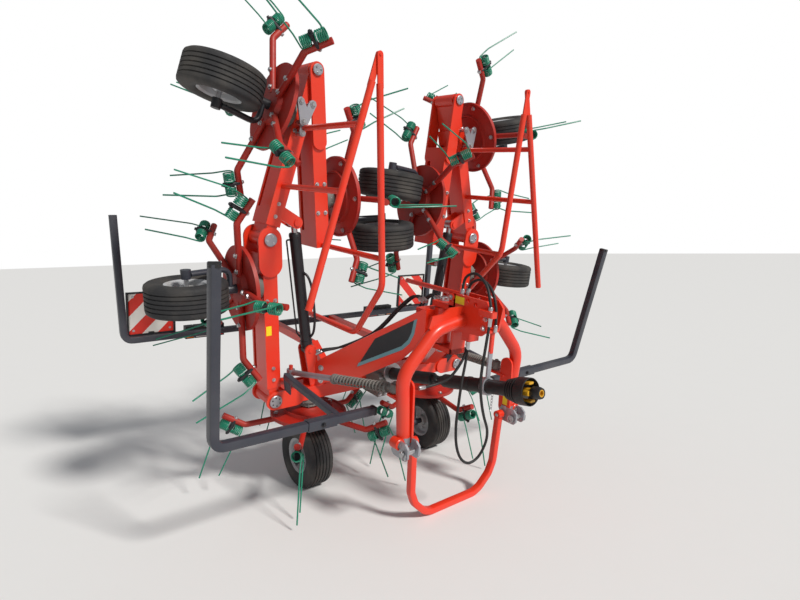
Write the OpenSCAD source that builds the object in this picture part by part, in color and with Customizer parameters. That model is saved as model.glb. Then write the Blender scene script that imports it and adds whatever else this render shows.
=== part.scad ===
// Carried hay tedder with eight rotors, folded for transport and parked on its stand loop.
// Frame: +X to the far wing, -Y to the headstock, +Z up, the ground at z = 0, millimetres.
// The machine is drawn level and then leant forward as it parks, by the module parked().

/* [Placement] */
// How far the parked machine leans forward onto its stand, degrees
nose_down = 7.85; // [4:0.05:10]
// Distance that brings the origin under the middle of the length
length_shift = 280; // [200:1:400]
// Height of the fold pins above the level machine's datum
pin_z = 618; // [600:1:660]

/* [Wing sections] */
// Distance from one rotor axis to the next
rotor_pitch = 943; // [930:1:960]
// Distance from a section's inner pin to its rotor axis
rotor_at = 680; // [660:1:700]
// Angle of the folded inner section above the level
fold_inner = 87; // [80:0.5:89]
// Angle of the folded middle section above the level
fold_middle = 105.5; // [100:0.5:108]
// Angle of the folded outer section, which hangs down inside
fold_outer = 265; // [262:0.5:268]

/* [Beams] */
// Thickness of a wing beam, up and down when it is level
beam_t = 84; // [70:1:100]
// Depth of the centre, inner and middle beams from front to rear
beam_depth = 180; // [150:1:200]
// How far the beams' front face lies ahead of the rotor axes
beam_front = 60; // [40:1:70]
// Distance from a fold pin to the end of the beams that it joins
beam_gap = 78; // [74:1:90]
// Distance from the outer fold pin to the start of the outer beam
outer_start = 310; // [300:1:340]
// Length of the outer section from its pin to its end
outer_end = 960; // [900:5:1000]
// Thickness of the hinge plates
plate_t = 14; // [8:1:20]
// Radius of the round head of a hinge plate
plate_r = 68; // [55:1:72]
// Diameter of a fold pin
pin_d = 40; // [30:1:50]
// Outer radius of the eye that a fold pin carries
eye_r = 42; // [35:1:50]
// Running clearance round pins and shafts
fit = 0.3; // [0.1:0.05:0.4]
// Clearance between plates that pass each other
pass = 6; // [5:0.5:8]

/* [Rotors] */
// Number of arms on a rotor
arm_count = 5; // [4:1:6]
// Diameter of a rotor arm tube
arm_d = 34; // [28:1:38]
// Depth of the arms below the pin line at the dish
arm_drop_in = 150; // [140:1:160]
// Depth of the spring coils below the pin line
coil_drop = 230; // [220:1:240]
// Radius from the rotor axis to the middle of a coil pair
coil_at = 465; // [440:1:480]
// Outer diameter of a spring coil
coil_d = 63; // [56:1:70]
// Length of one spring coil
coil_len = 57; // [45:1:60]
// Clear space between the two coils of a pair, for the clamp bolt
coil_space = 8; // [6:1:12]
// Diameter of the spring wire
tine_d = 9.5; // [8:0.5:11]
// Depth of a tine tip below the coils
tine_drop = 272; // [240:1:285]
// Outward reach of a tine tip from its coil
tine_flare = 130; // [90:1:145]
// Backward trail of a tine tip
tine_trail = 30; // [0:1:50]
// Radius of the rotor plate
dish_r = 235; // [200:1:250]
// Radius of the collar on the rotor plate
collar_r = 154; // [120:1:180]

/* [Wheels] */
// Outer diameter of a tyre
tyre_d = 406; // [380:1:420]
// Width of a tyre
tyre_w = 165; // [140:1:175]
// Diameter of the rim
rim_d = 216; // [200:1:230]
// How far the wheels lie ahead of the rotor axes
wheel_ahead = 40; // [20:1:60]
// Depth of a wing wheel's axle below the pin line
wheel_drop = 445; // [435:1:470]
// Clearance between a tyre's side and its leg
leg_clear = 10; // [6:1:16]
// Diameter of a leg tube
leg_d = 42; // [34:1:48]
// Diameter of a wheel axle
axle_d = 25; // [20:1:30]
// Diameter of the fixed shaft that carries a leg below its rotor
post_d = 50; // [40:1:56]

/* [Headstock] */
// Half the distance between the lower link pins
link_half = 412.5; // [400:0.5:420]
// Diameter of the holes for the lower link pins
link_hole_d = 28.5; // [22:0.5:29]
// How far the lower link pins lie ahead of the rotor axes
link_ahead = 918; // [900:1:930]
// Height of the lower link pins above the level machine's datum
link_z = 590; // [570:1:610]
// How far the headstock legs lie ahead of the rotor axes
head_ahead = 850; // [820:5:880]
// How far the swivel pin lies ahead of the rotor axes
swivel_ahead = 650; // [630:5:680]
// Diameter of the headstock leg tubes
head_tube_d = 70; // [55:1:76]
// Diameter of the top link pin hole
top_hole_d = 25.5; // [19:0.5:26]

/* [Guards] */
// Width of the square tube of the corner guards and the stand
square_w = 44; // [36:1:50]
// Diameter of the round wing guard tubes
guard_d = 34; // [28:1:38]
// How far the wing guard tubes lie ahead of the rotor axes
guard_ahead = 640; // [620:5:660]
// Side of a square warning board
board_w = 282; // [260:1:300]

/* [Hidden] */
$fn = 48;
bend_fullness = 1.06;

orange = [0.92, 0.27, 0.14];
dark_red = [0.5, 0.1, 0.1];
steel_grey = [0.45, 0.46, 0.5];
tube_blue = [0.22, 0.23, 0.3];
black = [0.06, 0.06, 0.07];
pale = [0.85, 0.85, 0.83];

// Columns: side (-1 near, 1 far), section (0 centre, 1 inner, 2 middle, 3 outer), angle of the
// first arm, turning sense, wheel shift outward, leg side, depth of the hanger, hanger thickness
SIDE = 0;
SECTION = 1;
ARM_ANGLE = 2;
SENSE = 3;
SHIFT = 4;
LEG_SIDE = 5;
HANGER = 6;
HANGER_T = 7;
ROTOR_A = [-1, 0, 18, 1, 25, -1, 192, 14];
ROTOR_B = [-1, 1, 54, -1, 0, 1, 207, 30];
ROTOR_C = [-1, 2, 18, 1, 0, -1, 207, 30];
ROTOR_D = [-1, 3, 54, -1, 250, -1, 230, 30];
ROTOR_E = [1, 0, 54, -1, 25, -1, 192, 14];
ROTOR_F = [1, 1, 18, 1, 0, 1, 207, 30];
ROTOR_G = [1, 2, 54, -1, 0, -1, 207, 30];
ROTOR_H = [1, 3, 18, 1, -65, -1, 207, 30];

tyre_r = tyre_d / 2;
half_t = beam_t / 2;
beam_rear = beam_depth - beam_front;
half_centre = rotor_pitch / 2 + rotor_pitch - rotor_at;
ground_axle_z = (tyre_r + wheel_ahead * sin(nose_down)) / cos(nose_down);
p1 = [half_centre, 0, pin_z];
p2 = p1 + rotor_pitch * [cos(fold_inner), 0, sin(fold_inner)];
p3 = p2 + rotor_pitch * [cos(fold_middle), 0, sin(fold_middle)];

// Puts the level machine on the ground as it parks
module parked() {
    translate([0, length_shift, 0]) rotate([nose_down, 0, 0]) children();
}

// Puts a piece drawn for the far wing on either side
module on_side(side) {
    if (side > 0) children();
    else mirror([1, 0, 0]) children();
}

// Places a section's own frame: origin on its inner pin, +X outward along the beam, +Z up
module at_section(side, section) {
    parked() on_side(side) {
        if (section == 0) translate([rotor_pitch / 2 - rotor_at, 0, pin_z]) children();
        if (section == 1) translate(p1) rotate([0, -fold_inner, 0]) children();
        if (section == 2) translate(p2) rotate([0, -fold_middle, 0]) children();
        if (section == 3) translate(p3) rotate([0, -fold_outer, 0]) children();
    }
}

// Straight round bar from p to q
module rod(p, q, d) {
    v = q - p;
    length = norm(v);
    translate(p) rotate([0, acos(v[2] / length), atan2(v[1], v[0])]) cylinder(h = length, d = d);
}

// Cone from p to q
module cone(p, q, d_from, d_to) {
    v = q - p;
    length = norm(v);
    translate(p) rotate([0, acos(v[2] / length), atan2(v[1], v[0])]) cylinder(h = length, d1 = d_from, d2 = d_to);
}

// Round tube through the points, with bends a little fuller than the tube
module tube_run(points, d) {
    for (i = [0:len(points) - 2]) rod(points[i], points[i + 1], d);
    for (i = [1:1:len(points) - 2]) translate(points[i]) sphere(d = d * bend_fullness);
}

// Straight bar from p to q, w in the upright plane of its run and h across it
module bar(p, q, w, h) {
    v = q - p;
    length = norm(v);
    translate(p) rotate([0, acos(v[2] / length), atan2(v[1], v[0])])
        translate([-w / 2, -h / 2, 0]) cube([w, h, length]);
}

// Flat plate in the plane of X and Z, its near face at y, with round heads at a and b
module link_plate(a, b, r, y, t, hole_d) {
    v = b - a;
    translate([a[0], y, a[1]]) rotate([90, 0, 0]) mirror([0, 0, 1]) rotate(atan2(v[1], v[0])) difference() {
        linear_extrude(t) {
            circle(r = r);
            translate([norm(v), 0]) circle(r = r);
            translate([0, -r]) square([norm(v), 2 * r]);
        }
        translate([0, 0, -1]) cylinder(h = t + 2, d = hole_d);
    }
}

// Pin along Y from y0 to y1 through x, z
module cross_pin(x, z, y0, y1, d) {
    translate([x, y0, z]) rotate([-90, 0, 0]) cylinder(h = y1 - y0, d = d);
}

slot_at = 74;
slot_w = 30;
slot_end = 90;

// Box beam along X, as deep as the beams plus the widening on each face, with a slot before its
// rear strip
module beam_box(x0, x1, wider) {
    difference() {
        translate([x0, -beam_front - wider, -half_t]) cube([x1 - x0, beam_depth + 2 * wider, beam_t]);
        translate([x0 + slot_end, slot_at, -half_t - 1]) cube([x1 - x0 - 2 * slot_end, slot_w, beam_t + 2]);
    }
}

// Two fork plates on a beam that ends short of the pin at x, with the pin itself
module fork(x, reach, wider, r) {
    for (y = [-beam_front - wider - plate_t, beam_rear + wider])
        link_plate([x, 0], [x - reach, 0], r, y, plate_t, pin_d - 1);
}

// Eye that turns on a fold pin at x, joined to the beam that starts at to_x
module eye(x, to_x) {
    narrow = beam_depth - 2 * pass;
    difference() {
        union() {
            cross_pin(x, 0, -beam_front + pass, beam_rear - pass, 2 * eye_r);
            translate([min(x, to_x), -beam_front + pass, -half_t * 0.7])
                cube([abs(to_x - x), narrow, half_t * 1.4]);
        }
        cross_pin(x, 0, -beam_front, beam_rear, pin_d + 2 * fit);
    }
}

module fold_pin(x, wider) {
    reach = plate_t + 6;
    cross_pin(x, 0, -beam_front - wider - reach, beam_rear + wider + reach, pin_d);
}

// Centre frame

module centre_frame() {
    color(orange) parked() {
        translate([0, 0, pin_z]) {
            beam_box(-half_centre + beam_gap, half_centre - beam_gap, 0);
            for (side = [-1, 1]) on_side(side) {
                fork(half_centre, beam_gap + 60, 0, plate_r * 0.8);
                fold_pin(half_centre, 0);
            }
        }
        for (side = [-1, 1]) on_side(side) {
            cylinder_foot();
            damper_foot();
        }
        rear_arms();
    }
}

cyl_foot = [500, -5, 885];
cyl_head = [612, -5, 1652];
foot_w = 70;
ear_t = 12;
cyl_d = 65;
cyl_pin_d = 26;

// Two ears that rise from the beam to the lower cylinder pin
module cylinder_foot() {
    for (y = [-foot_w / 2 - ear_t, foot_w / 2])
        link_plate([cyl_foot[0], cyl_foot[2]], [cyl_foot[0] - 40, pin_z + 60], 36,
            cyl_foot[1] + y, ear_t, cyl_pin_d - 1);
    cross_pin(cyl_foot[0], cyl_foot[2], cyl_foot[1] - foot_w / 2 - ear_t - 5,
        cyl_foot[1] + foot_w / 2 + ear_t + 5, cyl_pin_d);
}

damper_rear = [597, 10, 747];
damper_front = [392, 107 - head_ahead, 865];
damper_d = 42;
spring_d = 60;
damper_rod_d = 28;
damper_pin_d = 24;

// Upright post with a pin for the rear eye of a damper
module damper_foot() {
    translate([damper_rear[0], damper_rear[1], pin_z]) cylinder(h = damper_rear[2] + 45 - pin_z, d = damper_pin_d);
}

rack_y = 960;
rack_z = 780;

// Two arms from the beam back to the rear rack
module rear_arms() {
    for (side = [-1, 1])
        tube_square([[side * 250, beam_rear - 20, pin_z + 10], [side * 250, 330, rack_z],
            [side * 250, rack_y - square_w / 2, rack_z]], 50);
}

// Square tube through the points
module tube_square(points, w) {
    for (i = [0:len(points) - 2]) {
        v = points[i + 1] - points[i];
        extra = (i < len(points) - 2) ? w / 2 * v / norm(v) : [0, 0, 0];
        bar(points[i], points[i + 1] + extra, w, w);
    }
}

// Boom

boom_foot = [390, -100];
boom_head = [95, -600];
boom_t = 80;

module boom() {
    color(orange) parked() {
        for (side = [-1, 1]) on_side(side) boom_leg();
        difference() {
            union() {
                translate([0, -swivel_ahead, 1045]) cylinder(h = 200, r = 52);
                translate([-110, -swivel_ahead + 20, 1060]) cube([220, 90, 170]);
            }
            translate([0, -swivel_ahead, 1000]) cylinder(h = 300, d = 44 + 2 * fit);
        }
    }
}

module boom_leg() {
    v = boom_head - boom_foot;
    run = norm(v);
    translate([boom_foot[0], boom_foot[1], 0]) rotate([0, 0, atan2(v[1], v[0])]) rotate([90, 0, 0])
        translate([0, 0, -boom_t / 2]) linear_extrude(boom_t)
            polygon([[-115, pin_z + half_t], [-115, 780], [-40, 838], [run, 1235], [run + 20, 1235],
                [run + 20, 1060], [470, 920], [190, 750], [-10, 690], [-45, pin_z + half_t]]);
}

// Gearbox on the front of the centre beam, and the two shafts

pto_rear = [0, -130, 690];
pto_slope = 13.2;
shaft_d = 75;
joint_ball_d = 38;

function pto_at(d) = pto_rear + d * [0, -cos(pto_slope), sin(pto_slope)];
swivel_d = (swivel_ahead - 130) / cos(pto_slope);

module drive_gearbox() {
    color(steel_grey) parked() difference() {
        union() {
            translate([-85, -beam_front - 140, pin_z - 60]) cube([170, 140, 150]);
            rod(pto_at(-20), pto_at(110), 110);
        }
        rod(pto_at(60), pto_at(140), 40 + 2 * fit);
    }
}

module input_shaft() {
    color(black) parked() {
        rod(pto_at(61), pto_at(120), 40);
        rod(pto_at(112), pto_at(swivel_d - 40), shaft_d);
        difference() {
            rod(pto_at(swivel_d - 50), pto_at(swivel_d - 8), 50);
            translate(pto_at(swivel_d)) sphere(d = joint_ball_d + 2 * fit);
        }
    }
}

module pto_shaft() {
    color(black) parked() {
        translate(pto_at(swivel_d)) sphere(d = joint_ball_d);
        rod(pto_at(swivel_d + 5), pto_at(swivel_d + 25), 26);
        rod(pto_at(swivel_d + 20), pto_at(swivel_d + 60), 50);
        rod(pto_at(swivel_d + 50), pto_at(1020), shaft_d);
        rod(pto_at(1010), pto_at(1070), 50);
        cone(pto_at(1060), pto_at(1130), 84, 140);
        rod(pto_at(1130), pto_at(1200), 140);
        rod(pto_at(1190), pto_at(1262), 60);
    }
}

// Rotors

// Both rotor frames have their origin where the rotor axis crosses the pin line
module at_rotor(row) {
    at_section(row[SIDE], row[SECTION]) translate([rotor_at, 0, 0]) children();
}

dish_top = 105;
dish_bottom = 175;
hub_r = 62;
rim_h = 8;

module rotor(row) {
    color(dark_red) at_rotor(row) {
        rotate_extrude() polygon([[post_d / 2 + fit, -dish_bottom], [88, -dish_bottom],
            [100, -arm_drop_in], [dish_r, -arm_drop_in], [dish_r, -arm_drop_in + 13],
            [dish_r - 8, -arm_drop_in + 13], [dish_r - 15, -arm_drop_in + 4],
            [collar_r + 3, -arm_drop_in + 18], [collar_r, -dish_top - rim_h], [collar_r - 8, -dish_top - rim_h],
            [collar_r - 14, -arm_drop_in + 20], [hub_r + 10, -dish_top - 13], [hub_r, -dish_top],
            [post_d / 2 + fit, -dish_top]]);
        for (k = [0:arm_count - 1])
            rotate([0, 0, row[ARM_ANGLE] + 360 / arm_count * k]) arm(row[SENSE]);
    }
}

module arm(sense) {
    inner = [85, 0, -arm_drop_in - 4];
    pair_start = coil_at - coil_space / 2 - coil_len;
    elbow = [pair_start - 42, 0, -coil_drop + 33];
    outer = [pair_start - 9, 0, -coil_drop];
    tip = [coil_at + coil_space / 2 + coil_len + 10, 0, -coil_drop];
    tube_run([inner, elbow, outer, tip], arm_d);
    for (end = [-1, 1]) {
        from = coil_at + end * coil_space / 2;
        to = coil_at + end * (coil_space / 2 + coil_len);
        rod([from, 0, -coil_drop], [to, 0, -coil_drop], coil_d);
        tine([end > 0 ? to - tine_d / 2 : to + tine_d / 2, 0, -coil_drop], sense);
    }
}

// One prong from its coil at c to its tip
module tine(c, sense) {
    start = c + [0, -sense * (coil_d - tine_d) / 2, 0];
    knee = start + [tine_flare * 0.35, 0, -tine_drop * 0.55];
    tip = [c[0] + tine_flare, -sense * tine_trail, c[2] - tine_drop];
    tube_run([start, knee, tip], tine_d);
}

// Legs under the rotors

function leg_offset(row) = row[SHIFT] + row[LEG_SIDE] * (tyre_w / 2 + leg_clear + leg_d / 2);
function drop(row) = row[SECTION] == 0 ? pin_z - ground_axle_z : wheel_drop;

module leg(row) {
    side_at = leg_offset(row);
    top = [side_at, 0, -row[HANGER]];
    knee = [side_at, -wheel_ahead, -drop(row)];
    color(steel_grey) at_rotor(row) {
        translate([0, 0, -dish_top + 3]) cylinder(h = dish_top - 3 - half_t, r = 70);
        translate([0, 0, -row[HANGER] - row[HANGER_T] / 2]) cylinder(h = row[HANGER] + row[HANGER_T] / 2 - 60, d = post_d);
        bar([0, 0, -row[HANGER]], top, row[HANGER_T], 54);
        translate([side_at, 0, -row[HANGER] - row[HANGER_T] / 2]) cylinder(h = row[HANGER_T], d = 54);
        rod(top, knee, leg_d);
        translate(knee) sphere(d = leg_d * bend_fullness);
        rod(knee, [row[SHIFT] - row[LEG_SIDE] * 40, -wheel_ahead, -drop(row)], axle_d);
    }
}

module wheel(row) {
    color(black) at_rotor(row) translate([row[SHIFT], -wheel_ahead, -drop(row)]) rotate([0, 90, 0])
        rotate_extrude() difference() {
            polygon([[axle_d / 2 + fit, -50], [40, -50], [40, -20], [rim_d / 2 - 14, -20],
                [rim_d / 2 - 14, -tyre_w / 2 + 18], [rim_d / 2, -tyre_w / 2 + 12],
                [tyre_r - 50, -tyre_w / 2], [tyre_r - 14, -tyre_w / 2 + 12], [tyre_r, -tyre_w / 2 + 42],
                [tyre_r, tyre_w / 2 - 42], [tyre_r - 14, tyre_w / 2 - 12], [tyre_r - 50, tyre_w / 2],
                [rim_d / 2, tyre_w / 2 - 12], [rim_d / 2 - 14, tyre_w / 2 - 18],
                [rim_d / 2 - 14, 20], [40, 20], [40, 50], [axle_d / 2 + fit, 50]]);
        }
}

// Wing beams, drawn in their own section frames

module inner_beam(side) {
    color(orange) at_section(side, 1) {
        beam_box(beam_gap, rotor_pitch - beam_gap, 0);
        eye(0, beam_gap + 10);
        fork(rotor_pitch, beam_gap + 60, 0, plate_r);
        fold_pin(rotor_pitch, 0);
    }
}

module middle_beam(side) {
    color(orange) at_section(side, 2) {
        beam_box(beam_gap, rotor_at + 75, 0);
        eye(0, beam_gap + 10);
        eye(rotor_pitch, rotor_at + 70);
        middle_bracket();
    }
}

// Ears on the middle beam that take the head of the lift cylinder
module middle_bracket() {
    for (y = [-foot_w / 2 - ear_t, foot_w / 2])
        link_plate(cyl_eye_local, [cyl_eye_local[0] + 30, 20], 34, cyl_foot[1] + y, ear_t, cyl_pin_d - 1);
    for (y = [-foot_w / 2 - ear_t - 8, foot_w / 2 + ear_t - 8])
        cross_pin(cyl_eye_local[0], cyl_eye_local[1], cyl_foot[1] + y, cyl_foot[1] + y + 16, cyl_pin_d + 14);
}

// Where the cylinder head lies in the frame of the middle section
cyl_rel = cyl_head - p2;
cyl_eye_local = [cyl_rel[0] * cos(fold_middle) + cyl_rel[2] * sin(fold_middle),
    -cyl_rel[0] * sin(fold_middle) + cyl_rel[2] * cos(fold_middle)];

module outer_beam(side) {
    color(orange) at_section(side, 3) {
        beam_box(outer_start, outer_end, pass);
        for (y = [-beam_front - pass - plate_t, beam_rear + pass])
            link_plate([0, 0], [outer_start + 60, 0], half_t, y, plate_t, pin_d - 1);
        fold_pin(0, pass);
    }
}

// Round guard tubes ahead of the middle and outer rotors, hinged together in line with the fold pin

apex_gap = 125;
apex_r = 16;
apex_t = 8;
apex_pin_d = 12;
outer_reach_near = 1400;
outer_reach_far = 1245;

module middle_guard(side) {
    y = -guard_ahead;
    color(orange) at_section(side, 2) {
        rod([-270, y, 0], [rotor_pitch - apex_gap, y, 0], guard_d);
        link_plate([rotor_pitch - apex_gap - 20, 0], [rotor_pitch, 0], apex_r, y + 1, apex_t, 1);
        cross_pin(rotor_pitch, 0, y - apex_t - 6, y + apex_t + 6, apex_pin_d);
        for (x = [300, 620]) rod([x, -beam_front, 0], [x, y, 0], guard_d - 4);
    }
}

module outer_guard(side) {
    y = -guard_ahead;
    color(orange) at_section(side, 3) {
        reach = side > 0 ? outer_reach_far : outer_reach_near;
        tube_run([[apex_gap, y, 0], [reach - 310, y, 0], [reach, -383, 0], [reach + 5, 195, 0]], guard_d);
        difference() {
            link_plate([0, 0], [apex_gap + 20, 0], apex_r, y - 1 - apex_t, apex_t, 1);
            cross_pin(0, 0, y - 20, y + 20, apex_pin_d + 2 * fit);
        }
        rod([945, -beam_front - pass, 0], [945, y, 0], guard_d - 4);
    }
}

// Fixed guards and rack round the centre frame

brace_w = 38;

module front_guards() {
    color(tube_blue) parked() for (side = [-1, 1]) on_side(side) {
        tube_square([[454, -660, 728], [1313, -670, 743]], square_w);
        bar([1313, -670, 743 - square_w / 2], [1343, -783, 1561], square_w, square_w);
        bar([640, -beam_front + 10, 640], [686, -112, 782], brace_w, brace_w);
        bar([684, -100, 776], [667, -655, 727], brace_w - 2, brace_w - 2);
    }
}

module rear_rack() {
    color(tube_blue) parked() {
        bar([-1313, rack_y, rack_z], [1313, rack_y, rack_z], square_w, square_w);
        for (side = [-1, 1]) on_side(side)
            bar([1313, rack_y, rack_z - square_w / 2], [1343, rack_y + 35, 1601], square_w, square_w);
    }
}

module warning_boards() {
    color(pale) parked() for (side = [-1, 1]) on_side(side) {
        translate([995, rack_y + square_w / 2, rack_z + 30]) cube([board_w, 12, board_w]);
        translate([1120, rack_y + square_w / 2, rack_z - square_w / 2]) cube([40, 12, square_w + 20]);
        for (x = [983, 995 + board_w]) translate([x, rack_y + square_w / 2 - 6, rack_z + 20]) cube([12, 24, board_w + 14]);
    }
}

module lamps() {
    color([0.8, 0.1, 0.05]) parked() for (side = [-1, 1]) on_side(side)
        for (box = [[640, 120], [765, 85], [855, 60]])
            translate([box[0], rack_y + square_w / 2, rack_z - 45]) cube([box[1], 50, 90]);
}

// Headstock, which swivels on the boom's pin

module headstock() {
    color(orange) parked() {
        for (side = [-1, 1]) on_side(side) {
            tube_run([[foot_x, -head_ahead, 600], [foot_x + 30, -head_ahead, 930], [210, -head_ahead, 1185],
                [40, -head_ahead, 1215]], head_tube_d);
            link_fork();
            damper_ear();
            leg_gusset();
            translate([stand_half - stand_w / 2 - 4, -head_ahead, stand_hinge_z]) rotate([0, 90, 0])
                cylinder(h = foot_x - stand_half + stand_w / 2 + 4, d = stand_pin_d);
        }
        head_plates();
        shaft_strap();
        translate([-92, -head_ahead - 235, 1285]) cube([40, 95, 30]);
        translate([0, -swivel_ahead, 985]) cylinder(h = 320, d = 44);
    }
}

module head_plates() {
    translate([0, -head_ahead, 0]) difference() {
        union() {
            for (x = [-52, 38]) translate([x, 0, 0]) rotate([90, 0, 90]) linear_extrude(14)
                polygon([[110, 1085], [110, 1352], [-155, 1352], [-190, 1315], [-190, 1120], [-155, 1085]]);
            for (boss = [[90, 1328], [-140, 1290]])
                translate([-64, boss[0], boss[1]]) rotate([0, 90, 0]) cylinder(h = 128, r = 22);
            for (z = [1245 + pass, 1045 - pass - 30])
                translate([-52, 60, z]) cube([104, head_ahead - 60 - swivel_ahead + 45, 30]);
            translate([-52, 60, 1009]) cube([104, 20, 342]);
            translate([-38, -50, 1110]) cube([76, 60, 100]);
        }
        for (hole = [[-28, 1331], [-84, 1320]])
            translate([-60, hole[0], hole[1]]) rotate([0, 90, 0]) cylinder(h = 120, d = top_hole_d);
    }
}

// Ring round the drive shaft's guard, hung between the head plates
module shaft_strap() {
    at = (head_ahead + 170 + pto_rear[1]) / cos(pto_slope);
    centre = pto_at(at);
    difference() {
        union() {
            rod(pto_at(at - 14), pto_at(at + 14), shaft_d + 20);
            translate([-14, centre[1] - 6, centre[2] + shaft_d / 2 + 4]) cube([28, 12, 1085 - centre[2] - shaft_d / 2]);
        }
        rod(pto_at(at - 40), pto_at(at + 40), shaft_d + 2 * fit);
    }
    translate([-40, centre[1] - 20, 1085]) cube([80, 30, 14]);
}

// Free hydraulic hose that hangs from the lug on the head and comes back up between the plates

hose_d = 15;
hose_points = [[-78, -1062, 1285], [-80, -1062, 1240], [-88, -1062, 1150], [-98, -1060, 1010], [-92, -1058, 920],
    [-60, -1050, 820], [-15, -1035, 735], [40, -1020, 640], [55, -1005, 555], [25, -990, 475], [-35, -980, 450],
    [-95, -975, 490], [-128, -965, 570], [-135, -955, 680], [-115, -940, 800], [-85, -920, 910], [-50, -900, 1000],
    [-30, -885, 1060], [-28, -885, 1110]];
hose_steps = 3;
hose_sides = 10;

// Point on a smooth curve between the points i and i + 1
function on_curve(p, i, t) = let (a = p[max(i - 1, 0)], b = p[i], c = p[i + 1], d = p[min(i + 2, len(p) - 1)])
    0.5 * (2 * b + (c - a) * t + (2 * a - 5 * b + 4 * c - d) * t * t + (3 * b - a - 3 * c + d) * t * t * t);

module hose() {
    last = len(hose_points) - 1;
    line = concat([for (i = [0:last - 1]) for (k = [0:hose_steps - 1]) on_curve(hose_points, i, k / hose_steps)],
        [hose_points[last]]);
    ends = len(line) - 1;
    rings = [for (i = [0:ends])
        let (ahead = line[min(i + 1, ends)] - line[max(i - 1, 0)], u = cross(ahead, [0, 1, 0]) / norm(cross(ahead, [0, 1, 0])),
            v = cross(u, ahead) / norm(ahead))
        for (k = [0:hose_sides - 1]) line[i] + hose_d / 2 * (cos(360 * k / hose_sides) * u + sin(360 * k / hose_sides) * v)];
    walls = [for (i = [0:ends - 1]) for (k = [0:hose_sides - 1]) for (half = [0, 1])
        let (a = i * hose_sides + k, b = i * hose_sides + (k + 1) % hose_sides)
            half == 0 ? [a, b, b + hose_sides] : [a, b + hose_sides, a + hose_sides]];
    first_end = [for (k = [1:hose_sides - 2]) [0, k + 1, k]];
    last_end = [for (k = [1:hose_sides - 2]) [0, k, k + 1] + ends * hose_sides * [1, 1, 1]];
    color(black) parked() polyhedron(rings, concat(walls, first_end, last_end));
}

// Fork plates with the holes for a lower link pin
module link_fork() {
    for (x = [link_half - 42, link_half + 30])
        translate([x, 0, 0]) rotate([90, 0, 90]) linear_extrude(12) difference() {
            translate([-link_ahead - 32, 555]) square([link_ahead - head_ahead + 62, 90]);
            translate([-link_ahead, link_z]) circle(d = link_hole_d);
        }
}

// Plate that stiffens a leg where it meets the head
module leg_gusset() {
    translate([0, -head_ahead + 6, 0]) rotate([90, 0, 0]) linear_extrude(12)
        polygon([[45, 1190], [45, 1296], [150, 1296], [238, 1200], [216, 1178]]);
}

module damper_ear() {
    translate([damper_front[0] - 30, damper_front[1] - 90, damper_front[2] - 42]) cube([60, 120, 12]);
}

stand_half = 335;
foot_x = stand_half + 65;
stand_hinge_z = 600;
stand_w = square_w - 6;
stand_pin_d = 20;
stand_z = (head_ahead + stand_w / 2) * tan(nose_down) + stand_w / 2;

// Middle line of the loop's far half, across and up, from the hinge down to the middle of the foot
loop_half = [[stand_half, stand_hinge_z], [322, 300], [292, 228], [222, 160], [170, stand_z]];
loop_last = len(loop_half) - 1;
loop_line = concat(loop_half, [for (i = [loop_last:-1:0]) [-loop_half[i][0], loop_half[i][1]]]);

function across(a, b) = [a[1] - b[1], b[0] - a[0]] / norm(b - a);

// The line moved sideways by w, with mitred corners
function beside(line, w) = let (last = len(line) - 1) [for (i = [0:last])
    let (before = across(line[max(i - 1, 0)], line[max(i, 1)]),
        after = across(line[min(i, last - 1)], line[min(i + 1, last)]))
    line[i] + w * (before + after) / (1 + before * after)];

// Loop that the parked machine rests on, hinged at its two tops
module stand() {
    inside = beside(loop_line, -stand_w / 2);
    color(orange) parked() difference() {
        union() {
            translate([0, -head_ahead + stand_w / 2, 0]) rotate([90, 0, 0]) linear_extrude(stand_w)
                polygon(concat(beside(loop_line, stand_w / 2),
                    [for (i = [len(inside) - 1:-1:0]) inside[i]]));
            for (x = [-stand_half, stand_half])
                translate([x - stand_w / 2 - 2, -head_ahead, stand_hinge_z]) rotate([0, 90, 0])
                    cylinder(h = stand_w + 4, d = stand_w + 6);
        }
        translate([-500, -head_ahead, stand_hinge_z]) rotate([0, 90, 0])
            cylinder(h = 1000, d = stand_pin_d + 2 * fit);
    }
}

// Dampers and lift cylinders, each a barrel and a rod between two pins

damper_split = 430;

module damper_barrel() {
    v = damper_front - damper_rear;
    u = v / norm(v);
    difference() {
        union() {
            translate(damper_rear) translate([0, 0, -20]) cylinder(h = 40, d = 50);
            rod(damper_rear + 20 * u, damper_rear + damper_split * u, damper_d);
        }
        translate(damper_rear) translate([0, 0, -40]) cylinder(h = 80, d = damper_pin_d + 2 * fit);
        rod(damper_rear + 250 * u, damper_rear + (damper_split + 10) * u, damper_rod_d + 2 * fit);
    }
}

module damper_rod() {
    v = damper_front - damper_rear;
    u = v / norm(v);
    rod(damper_rear + 340 * u, damper_front - 15 * u, damper_rod_d);
    difference() {
        rod(damper_rear + 375 * u, damper_rear + 735 * u, spring_d);
        rod(damper_rear + 360 * u, damper_rear + 700 * u, damper_d + 4);
    }
    translate(damper_front) translate([0, 0, -20]) cylinder(h = 46, d = 50);
    translate(damper_front) translate([0, 0, 20]) cylinder(h = 18, d = damper_pin_d, $fn = 6);
}

cyl_split = 560;
cyl_rod_d = 35;

module cylinder_barrel() {
    v = cyl_head - cyl_foot;
    u = v / norm(v);
    difference() {
        union() {
            cross_pin(cyl_foot[0], cyl_foot[2], cyl_foot[1] - 28, cyl_foot[1] + 28, 56);
            rod(cyl_foot + 20 * u, cyl_foot + cyl_split * u, cyl_d);
        }
        cross_pin(cyl_foot[0], cyl_foot[2], cyl_foot[1] - 40, cyl_foot[1] + 40, cyl_pin_d + 2 * fit);
        rod(cyl_foot + 60 * u, cyl_foot + (cyl_split + 10) * u, cyl_rod_d + 2 * fit);
    }
}

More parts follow.
